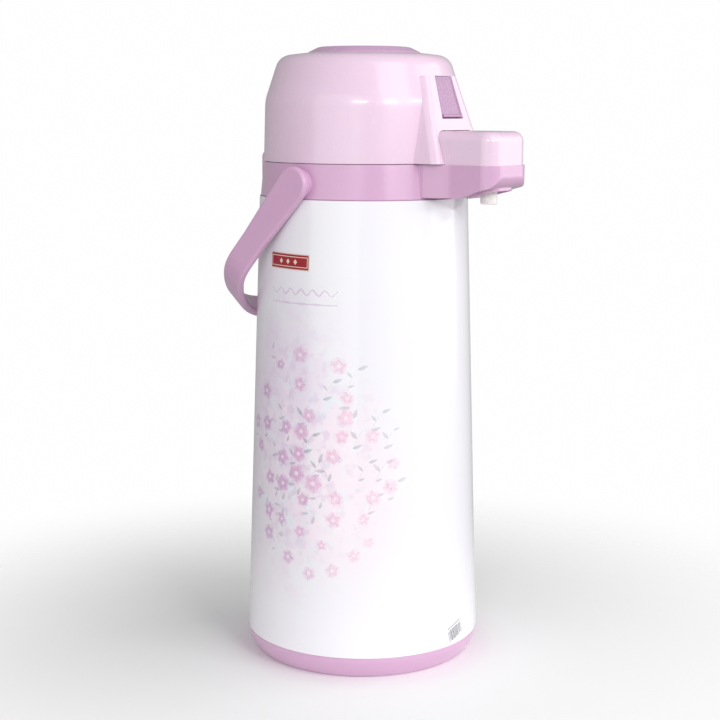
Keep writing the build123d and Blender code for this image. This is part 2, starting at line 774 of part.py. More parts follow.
with BuildPart() as lid_base:
    add(tube(0.0, base_plate_radius, lid_base_bottom, lid_base_top))
    add(tube(base_plate_radius - 1.6, base_plate_radius, lid_base_top, lid_base_top + base_rim))
    add(tube(bellows_radius + 0.3, bellows_radius + 2.0, lid_base_top, lid_base_top + 2.5))
    add(tube(mouth_flange + 0.2, mouth_flange + 1.6, mouth_top, lid_base_bottom))
    add(block(-80, 80, -80, plate_front, mouth_top - 1, lid_base_top + 5), mode=Mode.SUBTRACT)
    with BuildSketch(Plane.XY.offset(lid_base_bottom)):
        Circle(valve_stem)
        with PolarLocations(6, 6):
            Circle(air_hole)
    extrude(amount=plate_thickness, mode=Mode.SUBTRACT)
    for angle in screw_places:
        add(rod(boss_circle * cos(radians(angle)), boss_circle * sin(radians(angle)),
                lid_base_bottom - 1, lid_base_top + 3, screw_radius), mode=Mode.SUBTRACT)
        add(rod(boss_circle * cos(radians(angle)), boss_circle * sin(radians(angle)),
                lid_base_top, lid_base_top + 3, lid_post_radius + 0.2), mode=Mode.SUBTRACT)
    for side in (-1, 1):
        near, far = sorted((side * guide_inner, side * (guide_inner + guide_wall)))
        add(block(near, far, latch_rear - 4.5, post_y, lid_base_top, guide_top))
    add(block(-guide_inner - guide_wall, guide_inner + guide_wall, post_y, post_y + guide_wall,
              lid_base_top, guide_top))
save(lid_base.part, "lid_base")

mouth_gasket = tube(mouth_bore - 1.0, mouth_flange, mouth_top, lid_base_bottom)
save(mouth_gasket, "mouth_gasket")

with BuildPart() as air_valve:
    add(rod(0, 0, lid_base_bottom - 1.0, lid_base_bottom, valve_radius))
    add(rod(0, 0, lid_base_bottom, lid_base_top, valve_stem))
    add(rod(0, 0, lid_base_top, lid_base_top + 1.4, valve_stem + 1))
save(air_valve.part, "air_valve")

with BuildPart() as lid_screws:
    for angle in screw_places:
        x = boss_circle * cos(radians(angle))
        y = boss_circle * sin(radians(angle))
        add(rod(x, y, lid_base_bottom - 1.6, lid_base_bottom, head_radius))
        add(rod(x, y, lid_base_bottom, lid_base_top + screw_length, screw_radius))
save(lid_screws.part, "lid_screws")

# ---------------------------------------------------------------- air pump
fold_count = 5
bellows_wall = 0.9
flange = 1.2
flange_width = 3.0
fold_bottom = lid_base_top + flange
fold_top = press_plate_bottom - flange
fold_pitch = (fold_top - fold_bottom) / fold_count
outside = [(bellows_radius, lid_base_top), (bellows_radius, fold_bottom)]
inner_edge = bellows_radius - bellows_fold - flange_width
inside = [(inner_edge, lid_base_top), (inner_edge, fold_bottom)]
for fold in range(fold_count):
    low = fold_bottom + fold * fold_pitch
    outside.append((bellows_radius - bellows_fold, low))
    outside.append((bellows_radius, low + fold_pitch / 2))
    inside.append((bellows_radius - bellows_fold - bellows_wall, low))
    inside.append((bellows_radius - bellows_wall, low + fold_pitch / 2))
outside += [(bellows_radius - bellows_fold, fold_top), (bellows_radius - 1, fold_top),
            (bellows_radius - 1, press_plate_bottom)]
inside += [(bellows_radius - bellows_fold - bellows_wall, fold_top),
           (inner_edge, fold_top),
           (inner_edge, press_plate_bottom)]
bellows = turned(outside + inside[::-1])
save(bellows, "bellows")

spring_radius = bellows_radius - 13.0
spring_wire = 1.0
spring_turns = 6
spring_height = press_plate_bottom - lid_base_top - 2 * spring_wire
with BuildPart() as bellows_spring:
    with BuildLine(Plane.XY.offset(lid_base_top + spring_wire)):
        coil = Helix(pitch=spring_height / spring_turns, height=spring_height, radius=spring_radius)
    with BuildSketch(Plane(origin=coil @ 0, z_dir=coil % 0)):
        Circle(spring_wire)
    sweep(path=coil, is_frenet=True)
save(bellows_spring.part, "bellows_spring")

press_plate = turned([
    (0, press_plate_bottom),
    (bellows_radius - 1, press_plate_bottom),
    (bellows_radius - 1, press_plate_top),
    (stem_radius, press_plate_top),
    (stem_radius, press_plate_top + stem_foot),
    (stem_radius - stem_wall, press_plate_top + stem_foot),
    (stem_radius - stem_wall, press_plate_top),
    (0, press_plate_top),
])
save(press_plate, "press_plate")

skirt_bottom = press_plate_top + 1.5
button_wall = 2.0
button_dish = 0.4           # the top is this much lower than its edge
button_rim_round = 2.6
button_edge_round = 6.0
button = turned([
    (button_radius, skirt_bottom),
    (button_radius, rim + 0.2),
    (button_radius - button_flat, button_top),
    (0, button_top - button_dish),
    (0, button_top - button_dish - button_wall),
    (stem_radius - stem_wall, button_top - button_dish - button_wall),
    (stem_radius - stem_wall, press_plate_top + stem_foot),
    (stem_radius, press_plate_top + stem_foot),
    (stem_radius, button_top - button_dish - button_wall),
    (button_radius - button_wall, rim - 2.5),
    (button_radius - button_wall, skirt_bottom),
], [((button_radius, rim + 0.2), button_rim_round),
    ((button_radius - button_flat, button_top), button_edge_round)])
save(button, "button")

# ---------------------------------------------------------------- lid-opening lever and latch
barrel_radius = 2.0
lever_thickness = 2.0
lever_set_back = 0.3
lip_length = 1.8
peg_half = 2.5
peg_drop = 9.0
peg_height = 4.0
peg_length = 5.0
lip_stand = 1.6
with BuildPart() as open_lever:
    with BuildSketch(panel_front.offset(-lever_set_back)) as face:
        with BuildLine():
            Polyline(
                (-lever_half_top, 0),
                (lever_half_top, 0),
                (lever_half_bottom, -lever_length),
                (-lever_half_bottom, -lever_length),
                close=True,
            )
        make_face()
        fillet(face.vertices().group_by(Axis.Y)[0], 1.0)
    extrude(amount=-lever_thickness)
    fillet(open_lever.faces().sort_by(Axis.Y)[0].edges().sort_by(Axis.Z)[-1], 1.6)
    add(cross_rod(lever_axis.Y, lever_axis.Z, -lever_half_top, lever_half_top, barrel_radius))
    with BuildSketch(panel_front.offset(-lever_set_back - 0.5)):
        with Locations((0, -lever_length + lip_length / 2)):
            Rectangle(2 * lever_half_bottom - 2, lip_length)
    extrude(amount=lip_stand)
    lip = open_lever.faces().sort_by(Axis.Y)[0]
    fillet(lip.edges(), 0.6)
    with BuildSketch(panel_front.offset(-lever_set_back - 1)):
        with Locations((0, -peg_drop)):
            Rectangle(2 * peg_half, peg_height)
    extrude(amount=-peg_length)
    add(cross_rod(lever_axis.Y, lever_axis.Z, -cheek_inner, cheek_inner, lever_pin_radius + running),
        mode=Mode.SUBTRACT)
save(open_lever.part, "open_lever")

lever_pin = cross_rod(lever_axis.Y, lever_axis.Z, -cheek_inner - 1.5, cheek_inner + 1.5, lever_pin_radius)
save(lever_pin, "lever_pin")

latch_front = latch_rear - latch_thickness
with BuildPart() as latch_plate:
    add(block(-latch_half, latch_half, latch_front, latch_rear, lid_base_bottom - 1.6, rim - 24))
    add(block(-catch_outer, catch_outer, latch_front, latch_rear, lid_base_bottom - 1.6,
              lid_base_top - 0.4))
    for side in (-1, 1):
        near, far = sorted((side * catch_inner, side * catch_outer))
        add(block(near, far, latch_front, latch_rear, deck_top + 4, lid_base_top - 0.4))
save(latch_plate.part, "latch_plate")

latch_spring_radius = 2.6
latch_wire = 0.4
latch_length = post_y - latch_rear - 2 * latch_wire
with BuildPart() as latch_spring:
    with BuildLine():
        coil = Helix(pitch=latch_length / 4, height=latch_length, radius=latch_spring_radius,
                     center=(0, latch_rear + latch_wire, lid_base_top + 6), direction=(0, 1, 0))
    with BuildSketch(Plane(origin=coil @ 0, z_dir=coil % 0)):
        Circle(latch_wire)
    sweep(path=coil, is_frenet=True)
save(latch_spring.part, "latch_spring")

# ---------------------------------------------------------------- bail handle
# The grip's arc and the two corner arcs meet tangentially.
rise = bail_reach - bail_straight
spread = bail_half_span - bail_corner
grip_radius = (spread ** 2 + rise ** 2 - bail_corner ** 2) / (2 * (rise - bail_corner))
grip_centre = bail_reach - grip_radius
neck_share = 0.75           # share of the straight arm over which it narrows from the hub
arm_rounding = 60.0
edge_size = 1.9
meet = atan2(bail_straight - grip_centre, spread)
bail_plane = Plane(origin=(0, 0, pivot_z), x_dir=(1, 0, 0),
                   z_dir=(0, -cos(radians(bail_tilt)), -sin(radians(bail_tilt))))


def bail_half_outline(inset):
    """Arm, corner arc and half of the grip, on the right side, as seen along the pivot plane."""
    x_arm = bail_half_span - inset
    corner = bail_corner - inset
    grip = grip_radius - inset
    start = (x_arm, 0)
    bend = (x_arm, -bail_straight)
    middle_angle = meet / 2
    middle = (spread + corner * cos(middle_angle), -bail_straight - corner * sin(middle_angle))
    joint = (spread + corner * cos(meet), -bail_straight - corner * sin(meet))
    half_angle = (meet + radians(90)) / 2
    grip_middle = (grip * cos(half_angle), -grip_centre - grip * sin(half_angle))
    end = (0, -grip_centre - grip)
    return start, bend, middle, joint, grip_middle, end


with BuildPart() as bail_handle:
    with BuildSketch(bail_plane):
        with BuildLine():
            start, bend, middle, joint, grip_middle, end = bail_half_outline(-bail_thickness / 2)
            Line((start[0], bail_hub_radius), bend)
            ThreePointArc(bend, middle, joint)
            ThreePointArc(joint, grip_middle, end)
            outer_end = end
            start, bend, middle, joint, grip_middle, end = bail_half_outline(bail_thickness / 2)
            Line((start[0], bail_hub_radius), bend)
            ThreePointArc(bend, middle, joint)
            ThreePointArc(joint, grip_middle, end)
            Line(outer_end, end)
            Line((start[0], bail_hub_radius), (start[0] + bail_thickness, bail_hub_radius))
        make_face()
        mirror(about=Plane.YZ)
    extrude(amount=bail_hub_radius, both=True)
    side_plane = Plane(origin=(0, 0, pivot_z), x_dir=(0, sin(radians(bail_tilt)), -cos(radians(bail_tilt))),
                       z_dir=(1, 0, 0))
    with BuildSketch(side_plane) as side:
        with BuildLine():
            Polyline(
                (0, bail_hub_radius),
                (bail_straight * neck_share, bail_width / 2),
                (bail_reach + 10, bail_width / 2),
                (bail_reach + 10, -bail_width / 2),
                (bail_straight * neck_share, -bail_width / 2),
                (0, -bail_hub_radius),
                close=True,
            )
        make_face()
        bends = side.vertices().filter_by_position(Axis.X, bail_straight * neck_share - 0.1,
                                                   bail_straight * neck_share + 0.1)
        fillet(bends, arm_rounding)
        Circle(bail_hub_radius)
    extrude(amount=bail_half_span + 10, both=True, mode=Mode.INTERSECT)
    fillet(bail_handle.edges(), edge_size)
    for side in (-1, 1):
        near, far = sorted((side * (arm_inner - 1), side * (arm_inner + pivot_depth)))
        add(cross_rod(0, pivot_z, near, far, pivot_pin_radius + running), mode=Mode.SUBTRACT)
save(bail_handle.part, "bail_handle")
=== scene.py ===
import math
import random

import bpy
from mathutils import Matrix, Vector


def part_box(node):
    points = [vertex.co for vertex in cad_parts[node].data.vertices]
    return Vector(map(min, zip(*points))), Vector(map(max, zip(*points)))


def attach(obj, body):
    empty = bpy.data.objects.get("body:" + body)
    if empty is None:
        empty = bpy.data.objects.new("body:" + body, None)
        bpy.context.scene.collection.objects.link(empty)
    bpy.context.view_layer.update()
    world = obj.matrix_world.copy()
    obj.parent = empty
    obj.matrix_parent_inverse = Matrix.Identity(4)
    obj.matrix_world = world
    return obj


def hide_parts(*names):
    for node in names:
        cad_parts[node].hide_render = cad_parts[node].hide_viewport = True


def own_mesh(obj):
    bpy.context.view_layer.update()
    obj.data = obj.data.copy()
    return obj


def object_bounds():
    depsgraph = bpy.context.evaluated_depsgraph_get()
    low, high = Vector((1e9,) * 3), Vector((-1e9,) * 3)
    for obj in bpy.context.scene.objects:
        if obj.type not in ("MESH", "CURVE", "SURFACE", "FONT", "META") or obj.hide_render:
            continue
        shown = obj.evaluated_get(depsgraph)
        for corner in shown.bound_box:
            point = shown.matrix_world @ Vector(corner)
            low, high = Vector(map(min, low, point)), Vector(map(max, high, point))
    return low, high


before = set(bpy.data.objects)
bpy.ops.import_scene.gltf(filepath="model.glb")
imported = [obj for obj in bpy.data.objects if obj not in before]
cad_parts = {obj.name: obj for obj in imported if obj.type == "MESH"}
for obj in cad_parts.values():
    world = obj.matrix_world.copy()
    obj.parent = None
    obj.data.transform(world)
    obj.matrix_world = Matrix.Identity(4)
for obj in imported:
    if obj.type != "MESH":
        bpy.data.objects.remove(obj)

bl_info = {
    "name": "Flowered pump pot",
    "version": (1, 0, 0),
    "blender": (4, 5, 0),
    "location": "View3D > Sidebar > Pump Pot",
    "description": "Dresses the packed pump pot in gloss plastic, printed tin and its flower print",
    "category": "Object",
}

CAD_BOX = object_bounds()
MM = 0.001

# ---------------------------------------------------------------- places taken from the frame
SLEEVE_LOW, SLEEVE_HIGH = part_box("body_shell")
SLEEVE_FOOT_RADIUS = SLEEVE_HIGH.x
PRINT_LIFT = 0.05 * MM


def sleeve_radius(height):
    """Outer radius of the tapered sleeve, read from its two ends."""
    share = (height - SLEEVE_LOW.z) / (SLEEVE_HIGH.z - SLEEVE_LOW.z)
    return SLEEVE_FOOT_RADIUS + (SLEEVE_TOP_RADIUS - SLEEVE_FOOT_RADIUS) * share


def top_radius():
    """Outer radius of the sleeve's upper edge."""
    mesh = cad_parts["body_shell"].data
    return max(math.hypot(v.co.x, v.co.y) for v in mesh.vertices if v.co.z > SLEEVE_HIGH.z - 0.2 * MM)


SLEEVE_TOP_RADIUS = top_radius()


def sleeve_point(angle, height, across=0.0, up=0.0, lift=PRINT_LIFT):
    """A point on the sleeve, moved across and up along its skin. Angle 0 is under the spout."""
    z = height + up
    radius = sleeve_radius(z) + lift
    turn = math.radians(angle) + across / radius
    return Vector((radius * math.sin(turn), -radius * math.cos(turn), z))


# ---------------------------------------------------------------- settings a user would change
def linear(colour):
    """Turns a screen colour, 0 to 255, into a linear one."""
    out = []
    for value in colour:
        share = value / 255
        out.append(share / 12.92 if share <= 0.04045 else ((share + 0.055) / 1.055) ** 2.4)
    return tuple(out)


def colour_property(name, description, screen):
    """A colour setting with a default given as a screen colour."""
    return bpy.props.FloatVectorProperty(
        name=name, description=description, subtype="COLOR", size=3, min=0.0, max=1.0,
        default=linear(screen))


def length_property(name, description, default):
    """A length setting in metres."""
    return bpy.props.FloatProperty(
        name=name, description=description, default=default, min=0.0, unit="LENGTH")


class PotFinish(bpy.types.PropertyGroup):
    """Colours of the pot's own pieces; the lever's is darkened with painted shade"""
    light_pink: colour_property("Light pink", "Lid and spout cover", (234, 206, 227))
    mauve: colour_property("Mauve", "Collar, base and handle", (213, 171, 204))
    # The lever colour is the collar's mauve darkened to stand in for the shade the lever lies in: painted
    # shade.
    lever: colour_property("Lever", "Latch lever on the lid's panel", (177, 138, 173))
    button: colour_property("Button", "Push button", (208, 166, 203))
    enamel: colour_property("Enamel", "Ground colour of the printed sleeve", (241, 240, 245))
    haze: colour_property("Haze", "Airbrushed cloud behind the flowers", (234, 217, 238))
    natural: colour_property("Natural white", "Inner plastic parts", (232, 228, 222))


class PotPrint(bpy.types.PropertyGroup):
    """Sizes and colours of the print on the sleeve"""
    blossom: length_property("Blossom", "Radius of a full blossom", 6.4 * MM)
    leaf: length_property("Leaf", "Length of a full leaf", 6.8 * MM)
    stem: length_property("Stem", "Width of a stem", 0.42 * MM)
    film: length_property("Film", "Height of one printed layer over the next", 0.012 * MM)
    violet: colour_property("Violet", "Shaded petals", (196, 146, 200))
    rose: colour_property("Rose", "Lit petals", (243, 188, 214))
    leaf_green: colour_property("Leaf green", "Leaves and stems", (138, 156, 164))
    tag_red: colour_property("Tag red", "Small maker's tag without text", (158, 20, 34))
    line: colour_property("Line", "Plain wavy line under the tag", (205, 178, 206))
    blossom_count: bpy.props.IntProperty(
        name="Blossoms", description="Blossoms in the spray", default=40, min=1)
    sprig_count: bpy.props.IntProperty(
        name="Sprigs", description="Leafy sprigs in the spray", default=30, min=1)
    seed: bpy.props.IntProperty(
        name="Seed", description="Starts the random placing of the spray", default=11, min=0)


class PotStage(bpy.types.PropertyGroup):
    """Camera, lights and floor"""
    azimuth: bpy.props.FloatProperty(
        name="Azimuth", description="Camera direction about the pot, 0 faces the spout",
        default=math.radians(-53.0), subtype="ANGLE")
    distance: length_property("Distance", "Camera to the pot's axis, level", 0.9594)
    height: length_property("Height", "Camera above the floor", 0.349)
    tilt: bpy.props.FloatProperty(
        name="Tilt", description="Camera looks down by this much", default=math.radians(9.51),
        subtype="ANGLE")
    lens: bpy.props.FloatProperty(
        name="Lens", description="Focal length on a 36 mm sensor", default=75.36, min=10.0,
        subtype="DISTANCE_CAMERA")
    key: bpy.props.FloatProperty(name="Key", description="Power of the main softbox", default=6.6, min=0.0)
    glint: bpy.props.FloatProperty(
        name="Glint", description="Power of each small strip that lights the crease", default=2.2, min=0.0)
    fill: bpy.props.FloatProperty(name="Fill", description="Power of the broad front light", default=5.6,
                                  min=0.0)


# ---------------------------------------------------------------- shader node groups
def join(tree, source, target, names):
    """Links a node to another; names says which output feeds which input."""
    for output, socket in names.items():
        tree.links.new(source.outputs[output], target.inputs[socket])


def new_group(name, inputs, outputs):
    """An empty shader node group with named sockets."""
    group = bpy.data.node_groups.new(name, "ShaderNodeTree")
    for socket, kind, default in inputs:
        made = group.interface.new_socket(name=socket, in_out="INPUT", socket_type=kind)
        made.default_value = default
    for socket, kind in outputs:
        group.interface.new_socket(name=socket, in_out="OUTPUT", socket_type=kind)
    return group, group.nodes.new("NodeGroupInput"), group.nodes.new("NodeGroupOutput")


def math_node(tree, operation, first, second=None, third=None, clamp=False):
    """A Math node fed by sockets or numbers."""
    node = tree.nodes.new("ShaderNodeMath")
    node.operation = operation
    node.use_clamp = clamp
    for index, value in enumerate((first, second, third)):
        if value is None:
            continue
        if isinstance(value, (int, float)):
            node.inputs[index].default_value = value
        else:
            tree.links.new(value, node.inputs[index])
    return node.outputs[0]


def mix_colour(tree, share, first, second):
    """A colour Mix node; share, first and second are sockets or values."""
    node = tree.nodes.new("ShaderNodeMix")
    node.data_type = "RGBA"
    for socket, value in ((node.inputs[0], share), (node.inputs[6], first), (node.inputs[7], second)):
        if isinstance(value, bpy.types.NodeSocket):
            tree.links.new(value, socket)
        elif isinstance(value, (int, float)):
            socket.default_value = value
        else:
            socket.default_value = (*value, 1.0)
    return node.outputs[2]


def noise(tree, vector, scale, detail=3.0, roughness=0.5):
    """A noise value between 0 and 1 at the given scale."""
    node = tree.nodes.new("ShaderNodeTexNoise")
    node.inputs["Scale"].default_value = scale
    node.inputs["Detail"].default_value = detail
    node.inputs["Roughness"].default_value = roughness
    tree.links.new(vector, node.inputs["Vector"])
    return node.outputs["Fac"]


def object_place(tree):
    """Object coordinates, in metres."""
    return tree.nodes.new("ShaderNodeTexCoord").outputs["Object"]


def map_range(tree, value, low, high, out_low=0.0, out_high=1.0):
    """A clamped, smooth remap of a value."""
    node = tree.nodes.new("ShaderNodeMapRange")
    node.interpolation_type = "SMOOTHSTEP"
    tree.links.new(value, node.inputs["Value"])
    for name, number in (("From Min", low), ("From Max", high), ("To Min", out_low), ("To Max", out_high)):
        node.inputs[name].default_value = number
    return node.outputs["Result"]


def build_moulding_group():
    """Moulded plastic: faint cloudiness, flow marks, fine scuffs and an orange-peel normal."""
    group, inner, outer = new_group(
        "moulded_surface",
        [("Colour", "NodeSocketColor", (0.8, 0.8, 0.8, 1.0)), ("Cloud", "NodeSocketFloat", 0.03),
         ("Gloss", "NodeSocketFloat", 0.18), ("Scuff", "NodeSocketFloat", 0.1),
         ("Peel", "NodeSocketFloat", 0.04)],
        [("Colour", "NodeSocketColor"), ("Roughness", "NodeSocketFloat"), ("Normal", "NodeSocketVector")])
    place = object_place(group)
    cloud = noise(group, place, 34.0, 3.0)
    shade = math_node(group, "MULTIPLY_ADD", math_node(group, "SUBTRACT", cloud, 0.5),
                      inner.outputs["Cloud"], 1.0)
    darker = group.nodes.new("ShaderNodeVectorMath")
    darker.operation = "SCALE"
    group.links.new(inner.outputs["Colour"], darker.inputs[0])
    group.links.new(shade, darker.inputs["Scale"])
    fine = noise(group, place, 900.0, 2.0, 0.6)
    streak_place = group.nodes.new("ShaderNodeMapping")
    streak_place.inputs["Scale"].default_value = (260.0, 260.0, 22.0)
    streak_place.inputs["Rotation"].default_value = (0.5, 0.3, 0.2)
    group.links.new(place, streak_place.inputs["Vector"])
    streak = noise(group, streak_place.outputs["Vector"], 4.0, 2.0, 0.7)
    scratch = map_range(group, streak, 0.62, 0.74)
    rough = math_node(group, "MULTIPLY_ADD", scratch, inner.outputs["Scuff"], inner.outputs["Gloss"])
    rough = math_node(group, "ADD", rough, math_node(group, "MULTIPLY", fine, 0.03))
    bump = group.nodes.new("ShaderNodeBump")
    bump.inputs["Distance"].default_value = 0.0004
    group.links.new(inner.outputs["Peel"], bump.inputs["Strength"])
    height = math_node(group, "ADD", noise(group, place, 420.0, 2.0),
                       math_node(group, "MULTIPLY", scratch, -0.15))
    group.links.new(height, bump.inputs["Height"])
    group.links.new(darker.outputs[0], outer.inputs["Colour"])
    group.links.new(rough, outer.inputs["Roughness"])
    group.links.new(bump.outputs["Normal"], outer.inputs["Normal"])
    return group


def build_dust_group():
    """Thin dust in patches on upward faces, paler and rougher than what it lies on."""
    group, inner, outer = new_group(
        "settled_dust",
        [("Colour", "NodeSocketColor", (0.8, 0.8, 0.8, 1.0)), ("Roughness", "NodeSocketFloat", 0.2),
         ("Amount", "NodeSocketFloat", 0.1)],
        [("Colour", "NodeSocketColor"), ("Roughness", "NodeSocketFloat")])
    place = object_place(group)
    geometry = group.nodes.new("ShaderNodeNewGeometry")
    normal = group.nodes.new("ShaderNodeSeparateXYZ")
    group.links.new(geometry.outputs["Normal"], normal.inputs[0])
    upward = map_range(group, normal.outputs["Z"], 0.3, 1.0)
    specks = map_range(group, noise(group, place, 160.0, 6.0, 0.75), 0.5, 0.78)
    mask = math_node(group, "MULTIPLY", math_node(group, "MULTIPLY", upward, specks),
                     inner.outputs["Amount"], clamp=True)
    group.links.new(mix_colour(group, mask, inner.outputs["Colour"], linear((226, 222, 220))),
                    outer.inputs["Colour"])
    group.links.new(math_node(group, "MULTIPLY_ADD", mask, 0.4, inner.outputs["Roughness"]),
                    outer.inputs["Roughness"])
    return group


def build_ink_group():
    """Printing ink: pale specks in the colour and small thin spots in the cover."""
    group, inner, outer = new_group(
        "ink_mottle",
        [("Colour", "NodeSocketColor", (0.8, 0.8, 0.8, 1.0)), ("Cover", "NodeSocketFloat", 1.0),
         ("Specks", "NodeSocketFloat", 0.12), ("Thin spots", "NodeSocketFloat", 0.18)],
        [("Colour", "NodeSocketColor"), ("Cover", "NodeSocketFloat")])
    place = object_place(group)
    speck = map_range(group, noise(group, place, 1500.0, 2.0), 0.3, 0.8)
    speck = math_node(group, "MULTIPLY", speck, inner.outputs["Specks"])
    group.links.new(mix_colour(group, speck, inner.outputs["Colour"], linear((250, 246, 250))),
                    outer.inputs["Colour"])
    thin = map_range(group, noise(group, place, 600.0, 3.0), 0.2, 0.6, 1.0, 0.0)
    thin = math_node(group, "MULTIPLY", thin, inner.outputs["Thin spots"])
    kept = math_node(group, "SUBTRACT", 1.0, thin)
    group.links.new(math_node(group, "MULTIPLY", inner.outputs["Cover"], kept, clamp=True),
                    outer.inputs["Cover"])
    return group


def build_grain_group():
    """Rubber: fine matt grain in colour, roughness and normal."""
    group, inner, outer = new_group(
        "rubber_grain",
        [("Colour", "NodeSocketColor", (0.8, 0.8, 0.8, 1.0)),
         ("Pale colour", "NodeSocketColor", (0.9, 0.9, 0.9, 1.0)),
         ("Roughness", "NodeSocketFloat", 0.6), ("Grain", "NodeSocketFloat", 0.2)],
        [("Colour", "NodeSocketColor"), ("Roughness", "NodeSocketFloat"), ("Normal", "NodeSocketVector")])
    grain = noise(group, object_place(group), 800.0, 4.0, 0.6)
    group.links.new(mix_colour(group, map_range(group, grain, 0.4, 0.8), inner.outputs["Colour"],
                               inner.outputs["Pale colour"]), outer.inputs["Colour"])
    spread = map_range(group, grain, 0.2, 0.8, -0.1, 0.1)
    group.links.new(math_node(group, "ADD", inner.outputs["Roughness"], spread), outer.inputs["Roughness"])
    bump = group.nodes.new("ShaderNodeBump")
    bump.inputs["Distance"].default_value = 0.0002
    group.links.new(inner.outputs["Grain"], bump.inputs["Strength"])
    group.links.new(grain, bump.inputs["Height"])
    group.links.new(bump.outputs["Normal"], outer.inputs["Normal"])
    return group


# ---------------------------------------------------------------- materials
def new_material(name):
    """A node material with an empty Principled shader."""
    material = bpy.data.materials.new(name)
    material.use_nodes = True
    tree = material.node_tree
    shader = next(node for node in tree.nodes if node.type == "BSDF_PRINCIPLED")
    return material, tree, shader


def place_group(tree, name, values):
    """Puts a shared group into a material, with that material's own values."""
    node = tree.nodes.new("ShaderNodeGroup")
    node.node_tree = bpy.data.node_groups[name]
    for socket, value in values.items():
        node.inputs[socket].default_value = value
    return node


def moulded_plastic(name, colour, gloss=0.16, cloud=0.04, scuff=0.1, peel=0.05, dust=0.12, coat=0.35,
                    depth=0.12, coat_rough=0.16):
    """Gloss or satin moulded plastic in one colour."""
    material, tree, shader = new_material(name)
    surface = place_group(tree, "moulded_surface", {"Colour": (*colour, 1.0), "Cloud": cloud, "Gloss": gloss,
                                                    "Scuff": scuff, "Peel": peel})
    settled = place_group(tree, "settled_dust", {"Amount": dust})
    join(tree, surface, settled, {"Colour": "Colour", "Roughness": "Roughness"})
    join(tree, settled, shader, {"Colour": "Base Color", "Roughness": "Roughness"})
    join(tree, surface, shader, {"Normal": "Normal"})
    shader.inputs["IOR"].default_value = 1.5
    shader.inputs["Coat Weight"].default_value = coat
    shader.inputs["Coat Roughness"].default_value = coat_rough
    shader.inputs["Subsurface Weight"].default_value = depth
    shader.inputs["Subsurface Radius"].default_value = (0.004, 0.0025, 0.003)
    shader.inputs["Subsurface Scale"].default_value = 1.0
    return material


def haze_mask(tree, place, centre, reach, softness):
    """A soft cloud on the sleeve about a point, in angle and height, broken up by noise."""
    split = tree.nodes.new("ShaderNodeSeparateXYZ")
    tree.links.new(place, split.inputs[0])
    angle, height = math.radians(centre[0]), centre[1]
    radius = sleeve_radius(height)
    middle = (radius * math.sin(angle), -radius * math.cos(angle), height)
    parts = []
    for axis, value, size in zip("XYZ", middle, reach):
        offset = math_node(tree, "DIVIDE", math_node(tree, "SUBTRACT", split.outputs[axis], value), size)
        parts.append(math_node(tree, "MULTIPLY", offset, offset))
    total = math_node(tree, "SQRT", math_node(tree, "ADD", math_node(tree, "ADD", parts[0], parts[1]),
                                              parts[2]))
    ragged = math_node(tree, "MULTIPLY_ADD", noise(tree, place, 60.0, 4.0, 0.55), softness, total)
    return map_range(tree, ragged, 0.25 + softness / 2, 1.05 + softness / 2, 1.0, 0.0)


def printed_tin(finish):
    """White enamelled tin with an airbrushed lilac cloud under the flowers."""
    material, tree, shader = new_material("printed_tin")
    place = object_place(tree)
    tone = noise(tree, place, 18.0, 3.0)
    colour = mix_colour(tree, map_range(tree, tone, 0.35, 0.7, 0.0, 0.25), tuple(finish.enamel),
                        linear((240, 237, 246)))
    clouds = (((-104.0, 0.150), (0.058, 0.058, 0.110), 0.9, tuple(finish.haze), 0.8),
              ((-88.0, 0.135), (0.046, 0.046, 0.085), 1.1, linear((240, 228, 242)), 0.75),
              ((-62.0, 0.120), (0.042, 0.042, 0.075), 1.2, linear((250, 235, 243)), 0.7),
              ((-122.0, 0.080), (0.060, 0.060, 0.085), 0.9, linear((238, 232, 238)), 0.6))
    for centre, reach, softness, tint, strength in clouds:
        mask = math_node(tree, "MULTIPLY", haze_mask(tree, place, centre, reach, softness), strength)
        colour = mix_colour(tree, mask, colour, tint)
    printed = haze_mask(tree, place, (-88.0, 0.140), (0.062, 0.062, 0.100), 0.8)
    tints = ((95.0, linear((250, 232, 244)), 0.75), (130.0, linear((232, 240, 247)), 0.7),
             (170.0, linear((214, 190, 218)), 0.4))
    for scale, tint, strength in tints:
        patch = map_range(tree, noise(tree, place, scale, 3.0), 0.50, 0.66)
        patch = math_node(tree, "MULTIPLY", math_node(tree, "MULTIPLY", patch, printed), strength)
        colour = mix_colour(tree, patch, colour, tint)
    tree.links.new(colour, shader.inputs["Base Color"])
    fine = noise(tree, place, 700.0, 2.0)
    tree.links.new(math_node(tree, "MULTIPLY_ADD", fine, 0.05, 0.17), shader.inputs["Roughness"])
    bump = tree.nodes.new("ShaderNodeBump")
    bump.inputs["Strength"].default_value = 0.03
    bump.inputs["Distance"].default_value = 0.0004
    tree.links.new(noise(tree, place, 260.0, 2.0), bump.inputs["Height"])
    tree.links.new(bump.outputs["Normal"], shader.inputs["Normal"])
    shader.inputs["Coat Weight"].default_value = 0.5
    shader.inputs["Coat Roughness"].default_value = 0.08
    return material


def print_ink(name, gloss=0.2):
    """Printing ink: colour and cover come from the piece's own painted values."""
    material, tree, shader = new_material(name)
    painted = tree.nodes.new("ShaderNodeVertexColor")
    painted.layer_name = "ink"
    mottle = place_group(tree, "ink_mottle", {"Specks": 0.12, "Thin spots": 0.18})
    join(tree, painted, mottle, {"Color": "Colour", "Alpha": "Cover"})
    join(tree, mottle, shader, {"Colour": "Base Color", "Cover": "Alpha"})
    shader.inputs["Roughness"].default_value = gloss
    shader.inputs["Coat Weight"].default_value = 0.5
    shader.inputs["Coat Roughness"].default_value = 0.08
    return material


